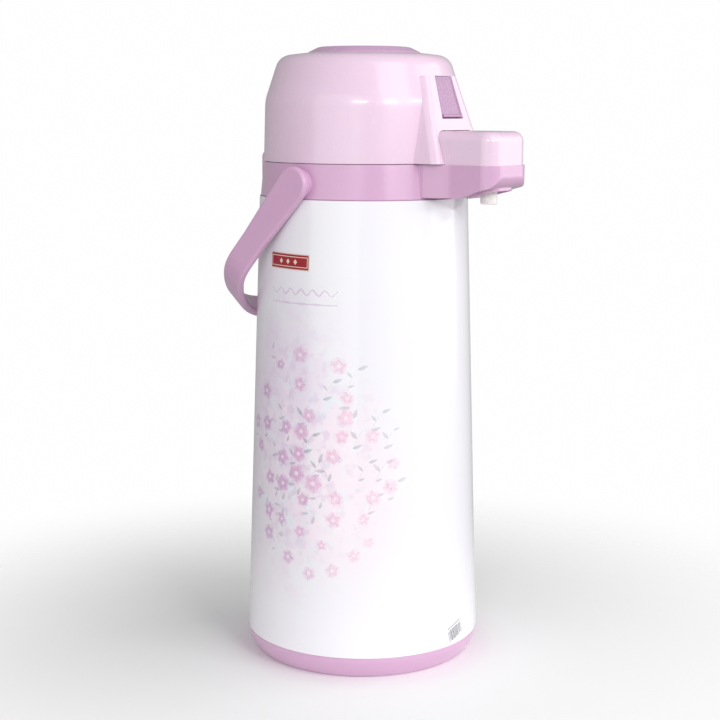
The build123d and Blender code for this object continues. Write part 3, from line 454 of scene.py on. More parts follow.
def turned_steel():
    """Satin steel with fine turning lines."""
    material, tree, shader = new_material("satin_steel")
    place = object_place(tree)
    lines = tree.nodes.new("ShaderNodeMapping")
    lines.inputs["Scale"].default_value = (60.0, 60.0, 1400.0)
    tree.links.new(place, lines.inputs["Vector"])
    grain = noise(tree, lines.outputs["Vector"], 3.0, 3.0, 0.6)
    tree.links.new(mix_colour(tree, grain, linear((176, 176, 178)), linear((206, 206, 208))),
                   shader.inputs["Base Color"])
    tree.links.new(map_range(tree, grain, 0.2, 0.8, 0.24, 0.42), shader.inputs["Roughness"])
    shader.inputs["Metallic"].default_value = 1.0
    return material


def silvered_glass():
    """Mirror silver seen through the flask's glass."""
    material, tree, shader = new_material("silvered_glass")
    place = object_place(tree)
    tone = noise(tree, place, 30.0, 4.0)
    tree.links.new(mix_colour(tree, tone, linear((186, 188, 192)), linear((214, 214, 210))),
                   shader.inputs["Base Color"])
    tree.links.new(map_range(tree, tone, 0.3, 0.8, 0.04, 0.14), shader.inputs["Roughness"])
    shader.inputs["Metallic"].default_value = 1.0
    shader.inputs["Coat Weight"].default_value = 1.0
    shader.inputs["Coat Roughness"].default_value = 0.02
    return material


def soft_rubber(name, colour, rough=0.6):
    """Rubber or silicone with a fine matt grain."""
    material, tree, shader = new_material(name)
    pale = tuple(min(1.0, value * 1.25 + 0.01) for value in colour)
    grain = place_group(tree, "rubber_grain", {"Colour": (*colour, 1.0), "Pale colour": (*pale, 1.0),
                                               "Roughness": rough, "Grain": 0.2})
    join(tree, grain, shader, {"Colour": "Base Color", "Roughness": "Roughness", "Normal": "Normal"})
    return material


def dress(material, *nodes):
    """Gives CAD nodes a material."""
    for name in nodes:
        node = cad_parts[name]
        node.data.materials.clear()
        node.data.materials.append(material)


# ---------------------------------------------------------------- meshes of the print
class InkMesh:
    """Collects painted faces that lie on the sleeve."""

    def __init__(self):
        self.points = []
        self.faces = []
        self.paint = []

    def grid(self, rows, place, paint):
        """Adds a grid of faces; place and paint turn a row and column share into a point and a colour."""
        count, across = rows
        first = len(self.points)
        for row in range(count + 1):
            for column in range(across + 1):
                share = (row / count, column / across)
                self.points.append(place(*share))
                self.paint.append(paint(*share))
        for row in range(count):
            for column in range(across):
                corner = first + row * (across + 1) + column
                self.faces.append((corner, corner + 1, corner + across + 2, corner + across + 1))

    def disc(self, rings, around, place, paint):
        """Adds a round patch about a centre point; place and paint take a share outwards and a turn."""
        middle = len(self.points)
        self.points.append(place(0.0, 0.0))
        self.paint.append(paint(0.0))
        for ring in range(1, rings + 1):
            for step in range(around):
                self.points.append(place(ring / rings, 2 * math.pi * step / around))
                self.paint.append(paint(ring / rings))
        for step in range(around):
            one, two = middle + 1 + step, middle + 1 + (step + 1) % around
            self.faces.append((middle, one, two))
            for ring in range(rings - 1):
                low = ring * around
                self.faces.append((one + low, one + low + around, two + low + around, two + low))

    def build(self, name, material):
        """Makes the object, with its colour and cover stored at its points."""
        mesh = bpy.data.meshes.new(name)
        mesh.from_pydata(self.points, [], self.faces)
        layer = mesh.color_attributes.new("ink", "FLOAT_COLOR", "POINT")
        for index, value in enumerate(self.paint):
            layer.data[index].color = value
        for polygon in mesh.polygons:
            polygon.use_smooth = True
        mesh.materials.append(material)
        piece = bpy.data.objects.new(name, mesh)
        bpy.context.collection.objects.link(piece)
        outward_faces(mesh)
        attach(piece, "pot")
        return piece


def outward_faces(mesh):
    """Turns every face so that it looks away from the pot's axis."""
    for polygon in mesh.polygons:
        centre = polygon.center
        if polygon.normal.x * centre.x + polygon.normal.y * centre.y < 0:
            polygon.flip()
    mesh.update()


def blend_colour(first, second, share):
    """A straight mix of two colours."""
    return tuple(a + (b - a) * share for a, b in zip(first, second))


def smooth(share):
    """Smooth step of a share between 0 and 1."""
    share = min(1.0, max(0.0, share))
    return share * share * (3 - 2 * share)


WHITE_HEART = linear((255, 246, 250))
PETALS = 5
STAMENS = 6
GLOW_SHARE = 1.15                   # the shares are of a blossom's radius
HEART_SHARE = 0.13
STAMEN_RING = 0.21
STAMEN_SHARE = 0.04


def add_blossom(ink, spot, radius, shade, cover, turn, settings, layer, draw):
    """A five-petalled blossom: pale heart, strong ring and petals that fade to their edges."""
    angle, height = spot
    # shade mixes the lit rose towards the shaded violet: painted shade.
    ring = blend_colour(tuple(settings.rose), tuple(settings.violet), shade)
    edge = blend_colour(ring, linear((255, 244, 250)), 0.40)
    lift = PRINT_LIFT + settings.film * layer
    glow = radius * GLOW_SHARE
    ink.disc(4, 16, lambda out, turned: sleeve_point(
        angle, height, glow * out * math.cos(turned), glow * out * math.sin(turned), lift - settings.film),
        lambda out: (*ring, 0.5 * cover * (1 - smooth(out))))
    for petal in range(PETALS):
        direction = math.radians(turn + petal * 360 / PETALS + draw.uniform(-7, 7))
        length = radius * draw.uniform(0.86, 1.08)
        width = radius * draw.uniform(0.60, 0.70)
        rise = lift + settings.film * 0.12 * petal

        def place(along, side):
            half = 2 * side - 1
            swell = 0.16 + 0.84 * smooth(along / 0.62)
            swell *= math.sqrt(1 - max(0.0, along - 0.62) ** 2 / 0.15)
            notch = 0.10 * smooth((along - 0.6) / 0.4) * (1 - abs(half)) ** 2
            bow = 0.16 * smooth((along - 0.5) / 0.5) * half * half
            reach = length * (0.06 + 0.94 * along - notch - bow)
            sideways = width * half * swell
            return sleeve_point(angle, height, reach * math.cos(direction) - sideways * math.sin(direction),
                                reach * math.sin(direction) + sideways * math.cos(direction), rise)

        def paint(along, side):
            half = abs(2 * side - 1)
            if along < 0.30:
                colour = blend_colour(WHITE_HEART, ring, smooth((along - 0.04) / 0.16))
            else:
                colour = blend_colour(ring, edge, 0.8 * smooth((along - 0.30) / 0.55))
            rim = smooth((half - 0.55) / 0.3) * (1 - smooth((half - 0.85) / 0.15))
            colour = blend_colour(colour, ring, 0.6 * rim * smooth(along / 0.4))
            vein = 0.16 * (1 - smooth(half / 0.25)) * smooth(along / 0.3) * (1 - along)
            colour = blend_colour(colour, tuple(settings.violet), vein)
            fade = (1 - 0.92 * smooth((along - 0.40) / 0.60)) * (1 - 0.7 * smooth((half - 0.60) / 0.40))
            return (*colour, max(0.0, cover * fade))

        ink.grid((9, 8), place, paint)
    heart = radius * HEART_SHARE
    ink.disc(3, 10, lambda out, turned: sleeve_point(
        angle, height, heart * out * math.cos(turned), heart * out * math.sin(turned), lift + settings.film),
        lambda out: (*blend_colour(linear((255, 250, 232)), WHITE_HEART, out), cover * (1 - 0.5 * out)))
    for stamen in range(STAMENS):
        direction = math.radians(turn + 17 + stamen * 360 / STAMENS)
        ring_radius = radius * STAMEN_RING
        add_dot(ink, spot, (ring_radius * math.cos(direction), ring_radius * math.sin(direction)),
                radius * STAMEN_SHARE, blend_colour(ring, linear((176, 96, 150)), 0.5), cover * 0.6,
                lift + settings.film * 1.2)


def add_dot(ink, spot, offset, radius, colour, cover, lift):
    """A small round dot."""
    angle, height = spot
    ink.disc(1, 8, lambda out, turned: sleeve_point(
        angle, height, offset[0] + radius * out * math.cos(turned),
        offset[1] + radius * out * math.sin(turned), lift), lambda out: (*colour, cover * (1 - 0.4 * out)))


def add_leaf(ink, spot, length, direction, cover, settings, layer):
    """A pointed leaf with a darker midrib."""
    angle, height = spot
    turn = math.radians(direction)
    lift = PRINT_LIFT + settings.film * layer
    green = tuple(settings.leaf_green)

    def place(along, side):
        half = 2 * side - 1
        swell = 0.05 + 0.95 * math.sin(math.pi * along ** 0.8)
        sideways = length * (0.23 * half * swell + 0.08 * along * along)
        reach = length * along
        return sleeve_point(angle, height, reach * math.cos(turn) - sideways * math.sin(turn),
                            reach * math.sin(turn) + sideways * math.cos(turn), lift)

    def paint(along, side):
        half = abs(2 * side - 1)
        colour = blend_colour(blend_colour(green, linear((70, 84, 98)), 0.55), green, smooth(half / 0.5))
        colour = blend_colour(colour, linear((196, 214, 216)), 0.5 * smooth((half - 0.4) / 0.6))
        return (*colour, 0.85 * cover * (1 - 0.85 * smooth((half - 0.45) / 0.55)) * (1 - 0.4 * along))

    ink.grid((7, 6), place, paint)


def add_stroke(ink, route, width, colour, cover, lift, steps=40):
    """A pen stroke through given points: thin at both ends, swelling in the middle."""
    points = smooth_route(route, steps)
    lengths = [0.0]
    for one, two in zip(points, points[1:]):
        lengths.append(lengths[-1] + math.hypot(two[0] - one[0], two[1] - one[1]))
    total = lengths[-1]

    def frame_at(share):
        index = min(len(points) - 2, int(share * (len(points) - 1)))
        part = share * (len(points) - 1) - index
        one, two = points[index], points[index + 1]
        heading = math.atan2(two[1] - one[1], two[0] - one[0])
        return (one[0] + (two[0] - one[0]) * part, one[1] + (two[1] - one[1]) * part, heading,
                (lengths[index] + (lengths[index + 1] - lengths[index]) * part) / total)

    def place(along, side):
        x, y, heading, share = frame_at(along)
        swell = 0.35 + 0.65 * math.sin(math.pi * share) * (0.72 + 0.28 * math.sin(9 * math.pi * share))
        off = width * (side - 0.5) * swell
        return sleeve_point(0, 0, (x - off * math.sin(heading)), y + off * math.cos(heading), lift)

    ink.grid((len(points) - 1, 2), place,
             lambda along, side: (*colour, cover * (1 - 0.35 * abs(2 * side - 1))))


def smooth_route(route, steps):
    """Points along a Catmull-Rom curve through the route."""
    out = []
    ends = [route[0]] + list(route) + [route[-1]]
    for index in range(len(route) - 1):
        a, b, c, d = ends[index:index + 4]
        for step in range(steps // (len(route) - 1) + 2):
            t = step / (steps // (len(route) - 1) + 2)
            out.append(tuple(
                0.5 * (2 * q + (r - p) * t + (2 * p - 5 * q + 4 * r - s) * t * t
                       + (3 * q - p - 3 * r + s) * t * t * t)
                for p, q, r, s in zip(a, b, c, d)))
    out.append(tuple(route[-1]))
    return out


# The spray is an oval cloud on the sleeve: its middle and half sizes, angle in degrees and height in mm.
SPRAY_MIDDLE = (-82.0, 138.0)
SPRAY_REACH = (44.0, 74.0)
SPRAY_CROWDING = 0.62               # 0.5 spreads the spots evenly, more gathers them near the middle
MOST_TRIES = 6000
BLOSSOM_GAP = 11.5
SPRIG_GAP = 10.0


def spray_spots(draw, count, gap):
    """Random spots in the spray, at least gap mm apart, each with its share of the way out.

    They lie a little closer near the middle.
    """
    spots = []
    tries = 0
    while len(spots) < count and tries < MOST_TRIES:
        tries += 1
        out, turn = draw.random() ** SPRAY_CROWDING, draw.uniform(0, 2 * math.pi)
        angle = SPRAY_MIDDLE[0] + SPRAY_REACH[0] * out * math.cos(turn)
        height = SPRAY_MIDDLE[1] + SPRAY_REACH[1] * out * math.sin(turn)
        if all(math.hypot(arc(angle, height) - arc(*spot[:2]), height - spot[1]) > gap for spot in spots):
            spots.append((angle, height, out))
    return spots


def arc(angle, height):
    """Millimetres round the sleeve from angle 0, at that height."""
    return math.radians(angle) * sleeve_radius(height * MM) / MM


class POT_OT_shared_effects(bpy.types.Operator):
    """Builds the shader groups that several finishes share"""
    bl_idname = "pumppot.shared_effects"
    bl_label = "Shared surface effects"

    def execute(self, context):
        build_moulding_group()
        build_dust_group()
        build_ink_group()
        build_grain_group()
        return {"FINISHED"}


class POT_OT_light_mouldings(bpy.types.Operator):
    """Light pink gloss plastic: lid dome and spout cover"""
    bl_idname = "pumppot.light_mouldings"
    bl_label = "Lid and spout cover"

    def execute(self, context):
        finish = context.scene.pot_finish
        dress(moulded_plastic("gloss_light_pink", tuple(finish.light_pink), gloss=0.24, coat=0.5,
                              coat_rough=0.07),
              "lid_dome", "spout_cover")
        return {"FINISHED"}


class POT_OT_mauve_mouldings(bpy.types.Operator):
    """Mauve plastic: collar, base ring, handle, pivots and lever"""
    bl_idname = "pumppot.mauve_mouldings"
    bl_label = "Collar, base, handle and lever"

    def execute(self, context):
        finish = context.scene.pot_finish
        dress(moulded_plastic("gloss_mauve", tuple(finish.mauve), gloss=0.2, coat=0.4),
              "collar", "base_ring", "base_cap", "pivot_pins", "latch_plate")
        dress(moulded_plastic("handle_mauve", tuple(finish.mauve), gloss=0.28, coat=0.2, scuff=0.16,
                              peel=0.1), "bail_handle")
        # The lever gets the darker lever colour, a mauve with painted shade.
        dress(moulded_plastic("lever_mauve_painted_shade", tuple(finish.lever), gloss=0.26, coat=0.25), "open_lever")
        dress(moulded_plastic("button_mauve", tuple(finish.button), gloss=0.24, coat=0.3), "button")
        return {"FINISHED"}


class POT_OT_inner_parts(bpy.types.Operator):
    """Flask, seals, pump and fittings"""
    bl_idname = "pumppot.inner_parts"
    bl_label = "Flask, pump and fittings"

    def execute(self, context):
        natural = tuple(context.scene.pot_finish.natural)
        dress(moulded_plastic("natural_white", natural, gloss=0.34, coat=0.0, peel=0.12),
              "mouth_ring", "lid_base", "press_plate", "outlet_pipe", "air_valve")
        dress(moulded_plastic("nozzle_natural", linear((238, 232, 230)), gloss=0.3, coat=0.1, depth=0.5),
              "nozzle", "dip_tube")
        dress(soft_rubber("bellows_cream", linear((226, 222, 214)), 0.45), "bellows")
        dress(soft_rubber("clear_silicone", linear((218, 214, 206)), 0.4),
              "neck_seal", "mouth_gasket", "tube_seal")
        dress(soft_rubber("black_rubber", linear((44, 44, 46)), 0.7), "support_cushion")
        dress(turned_steel(), "bellows_spring", "latch_spring", "hinge_pin", "lever_pin", "lid_screws",
              "spout_screws")
        dress(silvered_glass(), "inner_flask", "outer_flask")
        return {"FINISHED"}


BELLOWS_CLEARANCE = 0.05 * MM       # under the press plate


class POT_OT_pump_bellows(bpy.types.Operator):
    """Bellows and its spring, shortened a little to clear the press plate; on the pot they fold down onto the
    lid base as the button goes in
    """
    bl_idname = "pumppot.pump_bellows"
    bl_label = "Bellows and spring"

    def execute(self, context):
        low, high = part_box("bellows")
        height = high.z - low.z
        fit = 1 - BELLOWS_CLEARANCE / height
        for node, name, slot in (("bellows", "bellows_folds", "bellows_plastic"),
                                 ("bellows_spring", "bellows_coil", "steel")):
            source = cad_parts[node]
            mesh = source.data.copy()
            mesh.transform(source.matrix_world)
            for vertex in mesh.vertices:
                vertex.co.z = low.z + (vertex.co.z - low.z) * fit
            piece = bpy.data.objects.new(name, mesh)
            context.collection.objects.link(piece)
            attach(piece, "lid")
            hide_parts(node)
            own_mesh(piece)
        return {"FINISHED"}


class POT_OT_printed_sleeve(bpy.types.Operator):
    """Enamelled tin sleeve with its airbrushed haze"""
    bl_idname = "pumppot.printed_sleeve"
    bl_label = "Printed sleeve"

    def execute(self, context):
        dress(printed_tin(context.scene.pot_finish), "body_shell")
        return {"FINISHED"}


def lay_on_print(piece):
    """Ink is too thin to throw a shadow on the tin under it."""
    piece.visible_shadow = False
    piece.visible_diffuse = False


class POT_OT_foliage(bpy.types.Operator):
    """Stems and leaves of the flower print"""
    bl_idname = "pumppot.foliage"
    bl_label = "Stems and leaves"

    def execute(self, context):
        settings = context.scene.pot_print
        draw = random.Random(settings.seed + 1)
        ink = InkMesh()
        pale = blend_colour(tuple(settings.leaf_green), (1.0, 1.0, 1.0), 0.25)
        for count, (angle, height, out) in enumerate(spray_spots(draw, settings.sprig_count, SPRIG_GAP)):
            bend, cover = draw.choice((-1, 1)), 0.85 - 0.45 * out
            route = [(angle, height), (angle + 2.0 * bend, height + 6.0), (angle + 5.0 * bend, height + 11.0)]
            flat = [(arc(*spot) * MM, spot[1] * MM) for spot in route]
            add_stroke(ink, flat, settings.stem, pale, 0.6 * cover, PRINT_LIFT, 18)
            for number, spot in enumerate(route[:draw.choice((2, 3, 3))]):
                side = 62 if number % 2 else -48
                add_leaf(ink, (spot[0], spot[1] * MM), settings.leaf * draw.uniform(0.6, 1.05),
                         90 - 25 * bend + side, cover, settings, 1 + count % 3)
        lay_on_print(ink.build("print_foliage", print_ink("foliage_ink")))
        return {"FINISHED"}


class POT_OT_blossoms(bpy.types.Operator):
    """Five-petalled blossoms of the flower print"""
    bl_idname = "pumppot.blossoms"
    bl_label = "Blossoms"

    def execute(self, context):
        settings = context.scene.pot_print
        draw = random.Random(settings.seed)
        ink = InkMesh()
        for count, (angle, height, out) in enumerate(spray_spots(draw, settings.blossom_count, BLOSSOM_GAP)):
            # Blossoms further left, on the pot's shaded side, turn from rose to violet and print denser:
            # painted shade.
            shade = 0.9 * smooth((SPRAY_MIDDLE[0] + 34 - angle) / 62)
            cover = (0.92 - 0.42 * out) * (0.62 + 0.38 * shade)
            radius = settings.blossom * draw.uniform(0.72, 1.18) * (1 - 0.2 * out)
            add_blossom(ink, (angle, height * MM), radius, shade, cover, draw.uniform(0, 72), settings,
                        5 + 2 * (count % 2), draw)
        lay_on_print(ink.build("print_blossoms", print_ink("blossom_ink")))
        return {"FINISHED"}


# The wavy line: angles in degrees, heights and widths in mm.
WAVE_START = -108
WAVE_STEP = 3.5
WAVE_TURNS = 13
WAVE_HEIGHT = 239
WAVE_SWING = 1.7
UNDERLINE = ((-108, 232), (-87, 232), (-66, 232))
LINE_WIDTH = 1.5
LINE_COVER = 0.6


class POT_OT_wavy_line(bpy.types.Operator):
    """A plain, even wavy line with a straight one under it"""
    bl_idname = "pumppot.wavy_line"
    bl_label = "Wavy line"

    def execute(self, context):
        colour = tuple(context.scene.pot_print.line)
        wave = [(WAVE_START + WAVE_STEP * step, WAVE_HEIGHT + WAVE_SWING * (-1) ** step)
                for step in range(WAVE_TURNS)]
        ink = InkMesh()
        for layer, route in enumerate((wave, UNDERLINE)):
            flat = [(arc(angle, height) * MM, height * MM) for angle, height in route]
            add_stroke(ink, flat, LINE_WIDTH * MM, colour, LINE_COVER, PRINT_LIFT + 0.01 * MM * layer, 90)
        lay_on_print(ink.build("print_line", print_ink("line_ink")))
        return {"FINISHED"}


def sticker_point(centre, slant, across, up, lift):
    """A point on a sticker that is turned by slant about its centre on the sleeve."""
    turn = math.radians(slant)
    return sleeve_point(centre[0], centre[1] * MM, across * math.cos(turn) - up * math.sin(turn),
                        across * math.sin(turn) + up * math.cos(turn), lift)


def sticker_panel(name, centre, slant, size, thick, material, corner=0.5 * MM, under=PRINT_LIFT):
    """A thin closed panel with rounded corners that follows the sleeve."""
    half_wide, half_high = size[0] / 2, size[1] / 2
    turns = []
    for sign_x, sign_y, start in ((1, 1, 0), (-1, 1, 90), (-1, -1, 180), (1, -1, 270)):
        for step in range(5):
            turn = math.radians(start + step * 22.5)
            turns.append((sign_x * (half_wide - corner) + corner * math.cos(turn),
                          sign_y * (half_high - corner) + corner * math.sin(turn)))
    outline = []
    for one, two in zip(turns, turns[1:] + turns[:1]):
        parts = max(1, round(math.dist(one, two) / MM))
        outline.extend((one[0] + (two[0] - one[0]) * part / parts, one[1] + (two[1] - one[1]) * part / parts)
                       for part in range(parts))
    mesh = bpy.data.meshes.new(name)
    rows, points, faces = 8, [], []
    count = len(outline)
    for lift in (under, under + thick):
        for row in range(rows + 1):
            share = 1 - row / (rows + 1)
            points.extend(sticker_point(centre, slant, x * share, y * share, lift) for x, y in outline)
        points.append(sticker_point(centre, slant, 0.0, 0.0, lift))
    block = count * (rows + 1) + 1
    for level in (0, 1):
        base = level * block
        for row in range(rows):
            for k in range(count):
                one, two = base + row * count + k, base + row * count + (k + 1) % count
                quad = (one, two, two + count, one + count)
                faces.append(quad if level else quad[::-1])
        for k in range(count):
            tri = (base + rows * count + k, base + rows * count + (k + 1) % count, base + block - 1)
            faces.append(tri if level else tri[::-1])
    for k in range(count):
        faces.append((k, (k + 1) % count, block + (k + 1) % count, block + k))
    mesh.from_pydata(points, [], faces)
    mesh.materials.append(material)
    piece = bpy.data.objects.new(name, mesh)
    bpy.context.collection.objects.link(piece)
    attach(piece, "pot")
    return piece


def sticker_ink(name, centre, slant, shapes, material, lift):
    """Flat ink shapes on a sticker: each is a list of corner points and a colour."""
    ink = InkMesh()
    for corners, colour in shapes:
        first = len(ink.points)
        for x, y in corners:
            ink.points.append(sticker_point(centre, slant, x * MM, y * MM, lift))
            ink.paint.append((*colour, 1.0))
        ink.faces.append(tuple(range(first, first + len(corners))))
    piece = ink.build(name, material)
    lay_on_print(piece)
    return piece


def bar_shape(x, y, wide, high):
    """Corners of an upright bar about its centre."""
    return [(x - wide / 2, y - high / 2), (x + wide / 2, y - high / 2), (x + wide / 2, y + high / 2),
            (x - wide / 2, y + high / 2)]


# The tag's place is its angle and height in mm; the other sizes are in mm too.
TAG_PLACE = (-96.0, 257.0)
TAG_SLANT = -0.8
TAG_RIM_SIZE = (32.4, 9.6)
TAG_FACE_SIZE = (31.4, 8.6)
TAG_RIM_THICK = 0.06
TAG_FACE_THICK = 0.05
TAG_INK_LIFT = 0.15
FRAME_LINE = 0.45
FRAME_HALF = (15.0, 3.0)
FRAME_DASH = 2.0
LOZENGE_HALF = (1.5, 1.7)
LOZENGE_GAP = 6.0


class POT_OT_tag(bpy.types.Operator):
    """Small red tag with an inset frame and three plain lozenges, no lettering"""
    bl_idname = "pumppot.tag"
    bl_label = "Red tag"

    def execute(self, context):
        settings = context.scene.pot_print
        rim = moulded_plastic("tag_rim", linear((224, 186, 176)), gloss=0.3, coat=0.2, dust=0.02)
        face = moulded_plastic("tag_red", tuple(settings.tag_red), gloss=0.22, coat=0.5, dust=0.02,
                               cloud=0.12, depth=0.0)
        rim_size = tuple(side * MM for side in TAG_RIM_SIZE)
        face_size = tuple(side * MM for side in TAG_FACE_SIZE)
        sticker_panel("tag_rim", TAG_PLACE, TAG_SLANT, rim_size, TAG_RIM_THICK * MM, rim)
        sticker_panel("tag_face", TAG_PLACE, TAG_SLANT, face_size, TAG_FACE_THICK * MM, face,
                      under=PRINT_LIFT + TAG_RIM_THICK * MM)
        pale = linear((240, 214, 196))
        dashes = round(FRAME_HALF[0] / FRAME_DASH - 0.5)
        shapes = [(bar_shape(FRAME_DASH * step, sign * FRAME_HALF[1], FRAME_DASH, FRAME_LINE), pale)
                  for sign in (-1, 1) for step in range(-dashes, dashes + 1)]
        shapes += [(bar_shape(sign * FRAME_HALF[0], 0.0, FRAME_LINE, 2 * FRAME_HALF[1] + FRAME_LINE), pale)
                   for sign in (-1, 1)]
        wide, high = LOZENGE_HALF
        for x in (-LOZENGE_GAP, 0.0, LOZENGE_GAP):
            shapes.append(([(x - wide, 0.0), (x, -high), (x + wide, 0.0), (x, high)], pale))
        sticker_ink("tag_marks", TAG_PLACE, TAG_SLANT, shapes, print_ink("tag_ink", 0.3),
                    PRINT_LIFT + TAG_INK_LIFT * MM)
        return {"FINISHED"}


# The bar sticker's place is its angle and height in mm; the other sizes are in mm too.
BARS_PLACE = (-1.0, 22.0)
BARS_SLANT = 17.0
BARS_HALF = 7.0
BAR_HEIGHT = 7.6
SHORT_BAR_HEIGHT = 6.4
USUAL_SHARE = 0.8                   # of the bars have the usual height
BARS_SEED = 5
DASH_COUNT = 9


class POT_OT_bar_sticker(bpy.types.Operator):
    """Plain bars with no digits from a clear sticker low on the sleeve; only the bars are built"""
    bl_idname = "pumppot.bar_sticker"
    bl_label = "Bar sticker"

    def execute(self, context):
        draw = random.Random(BARS_SEED)
        dark = linear((64, 60, 66))
        shapes = []
        x = -BARS_HALF
        while x < BARS_HALF:
            wide = draw.choice((0.25, 0.4, 0.4, 0.7))
            high = BAR_HEIGHT if draw.random() < USUAL_SHARE else SHORT_BAR_HEIGHT
            shapes.append((bar_shape(x + wide / 2, 0.0, wide, high), dark))
            x += wide + draw.choice((0.3, 0.4, 0.6))
        for place in range(DASH_COUNT):
            shapes.append((bar_shape(-6.0 + 1.5 * place, 5.2, 0.9, 0.8), dark))
        sticker_ink("bar_marks", BARS_PLACE, BARS_SLANT, shapes, print_ink("bar_ink", 0.3),
                    PRINT_LIFT + 0.02 * MM)
        return {"FINISHED"}


# ---------------------------------------------------------------- stage
LIGHT_DISTANCE = 1.4
RIGHT_FILL_SHARE = 1.1              # of the front light's power
GLINT_AZIMUTHS = (-58.0, -24.0, 10.0)
FLOOR_HALF = 4.0
FLOOR_FADE = (0.10, 0.42)           # the floor fades out between these distances from the axis
SEEN_EXTRA = 0.62                   # the backdrop is this much brighter to the camera than to the pot
ROOM_LIGHT = 0.38
CAMERA_TURN = math.radians(0.12663)
CAMERA_ROLL = math.radians(0.188)


def soft_light(name, azimuth, elevation, size, power):
    """A rectangular softbox that looks at the middle of the pot."""
    data = bpy.data.lights.new(name, "AREA")
    data.shape = "RECTANGLE"
    data.size, data.size_y = size
    data.energy = power
    light = bpy.data.objects.new(name, data)
    bpy.context.collection.objects.link(light)
    turn, rise = math.radians(azimuth), math.radians(elevation)
    away = Vector((math.sin(turn) * math.cos(rise), -math.cos(turn) * math.cos(rise), math.sin(rise)))
    target = Vector((0, 0, (CAD_BOX[1].z + CAD_BOX[0].z) / 2))
    light.location = target + away * LIGHT_DISTANCE
    light.rotation_euler = (-away).to_track_quat("-Z", "Y").to_euler()


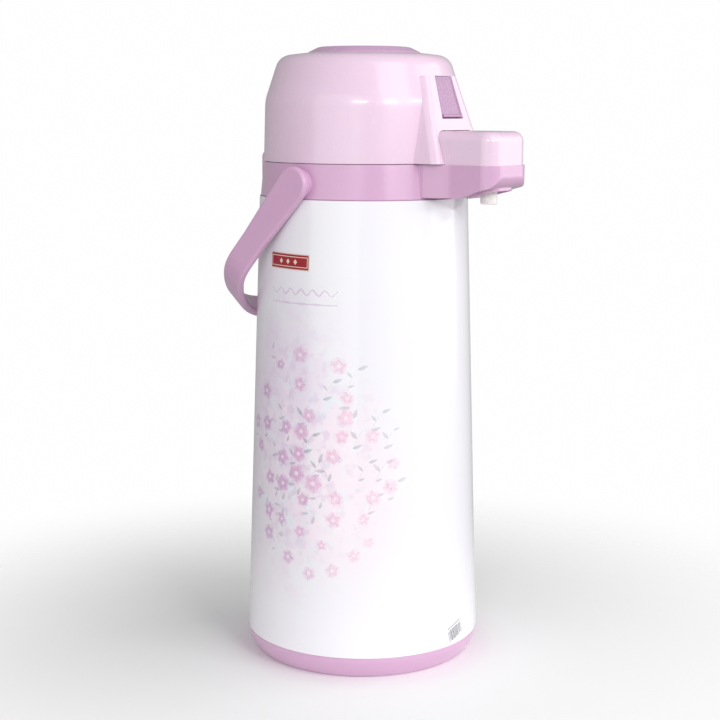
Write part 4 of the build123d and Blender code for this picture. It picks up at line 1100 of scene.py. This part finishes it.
class POT_OT_stage(bpy.types.Operator):
    """Camera, soft lights and a plain pale floor"""
    bl_idname = "pumppot.stage"
    bl_label = "Stage"

    def execute(self, context):
        stage = context.scene.pot_stage
        floor_mesh = bpy.data.meshes.new("stage_floor")
        corners = [(x * FLOOR_HALF, y * FLOOR_HALF, 0) for x, y in ((-1, -1), (1, -1), (1, 1), (-1, 1))]
        floor_mesh.from_pydata(corners, [], [(0, 1, 2, 3)])
        floor_material, tree, shader = new_material("pale_floor")
        place = object_place(tree)
        tone = noise(tree, place, 6.0, 2.0)
        tree.links.new(mix_colour(tree, tone, linear((250, 250, 250)), linear((253, 253, 253))),
                       shader.inputs["Base Color"])
        away = tree.nodes.new("ShaderNodeVectorMath")
        away.operation = "LENGTH"
        tree.links.new(place, away.inputs[0])
        tree.links.new(map_range(tree, away.outputs["Value"], *FLOOR_FADE, 1.0, 0.0), shader.inputs["Alpha"])
        shader.inputs["Roughness"].default_value = 0.7
        floor_mesh.materials.append(floor_material)
        floor = bpy.data.objects.new("stage_floor", floor_mesh)
        context.collection.objects.link(floor)
        world = bpy.data.worlds.new("studio")
        context.scene.world = world
        world.use_nodes = True
        sky = world.node_tree
        background = next(node for node in sky.nodes if node.type == "BACKGROUND")
        ray = sky.nodes.new("ShaderNodeLightPath")
        background.inputs["Color"].default_value = (1.0, 0.995, 1.0, 1.0)
        level = math_node(sky, "MULTIPLY_ADD", ray.outputs["Is Camera Ray"], SEEN_EXTRA, ROOM_LIGHT)
        sky.links.new(level, background.inputs["Strength"])
        soft_light("key_softbox", -14.0, 32.0, (0.8, 1.2), stage.key)
        soft_light("front_fill", -84.0, 10.0, (1.4, 1.4), stage.fill)
        soft_light("right_fill", 42.0, 15.0, (1.0, 1.2), stage.fill * RIGHT_FILL_SHARE)
        for azimuth in GLINT_AZIMUTHS:
            soft_light("glint_strip", azimuth, 21.0, (0.34, 0.05), stage.glint)
        camera_data = bpy.data.cameras.new("camera")
        camera_data.lens = stage.lens
        camera_data.sensor_width = 36.0
        camera_data.clip_start = 0.01
        camera = bpy.data.objects.new("camera", camera_data)
        context.collection.objects.link(camera)
        camera.location = (math.sin(stage.azimuth) * stage.distance,
                           -math.cos(stage.azimuth) * stage.distance, stage.height)
        heading = stage.azimuth + CAMERA_TURN
        turned = Matrix.Rotation(heading, 4, "Z") @ Matrix.Rotation(math.pi / 2 - stage.tilt, 4, "X")
        turned = turned @ Matrix.Rotation(CAMERA_ROLL, 4, "Z")
        camera.rotation_euler = turned.to_euler()
        context.scene.camera = camera
        context.scene.view_settings.view_transform = "Standard"
        return {"FINISHED"}


# ---------------------------------------------------------------- sidebar and run
STEPS = (POT_OT_shared_effects, POT_OT_light_mouldings, POT_OT_mauve_mouldings, POT_OT_inner_parts,
         POT_OT_pump_bellows, POT_OT_printed_sleeve, POT_OT_foliage, POT_OT_blossoms,
         POT_OT_wavy_line, POT_OT_tag, POT_OT_bar_sticker, POT_OT_stage)


class POT_PT_sidebar(bpy.types.Panel):
    """Settings and steps of the pump pot"""
    bl_idname = "POT_PT_sidebar"
    bl_label = "Flowered pump pot"
    bl_space_type = "VIEW_3D"
    bl_region_type = "UI"
    bl_category = "Pump Pot"

    def draw(self, context):
        scene = context.scene
        for group in (scene.pot_finish, scene.pot_print, scene.pot_stage):
            box = self.layout.box()
            for name in group.bl_rna.properties.keys():
                if name not in ("rna_type", "name"):
                    box.prop(group, name)
        for step in STEPS:
            self.layout.operator(step.bl_idname)


CLASSES = (PotFinish, PotPrint, PotStage, *STEPS, POT_PT_sidebar)


def register():
    for item in CLASSES:
        bpy.utils.register_class(item)
    bpy.types.Scene.pot_finish = bpy.props.PointerProperty(type=PotFinish)
    bpy.types.Scene.pot_print = bpy.props.PointerProperty(type=PotPrint)
    bpy.types.Scene.pot_stage = bpy.props.PointerProperty(type=PotStage)


def unregister():
    for name in ("pot_finish", "pot_print", "pot_stage"):
        delattr(bpy.types.Scene, name)
    for item in reversed(CLASSES):
        bpy.utils.unregister_class(item)


def main():
    register()
    bpy.ops.pumppot.shared_effects()
    bpy.ops.pumppot.light_mouldings()
    bpy.ops.pumppot.mauve_mouldings()
    bpy.ops.pumppot.inner_parts()
    bpy.ops.pumppot.pump_bellows()
    bpy.ops.pumppot.printed_sleeve()
    bpy.ops.pumppot.foliage()
    bpy.ops.pumppot.blossoms()
    bpy.ops.pumppot.wavy_line()
    bpy.ops.pumppot.tag()
    bpy.ops.pumppot.bar_sticker()
    bpy.ops.pumppot.stage()


if __name__ == "__main__":
    main()
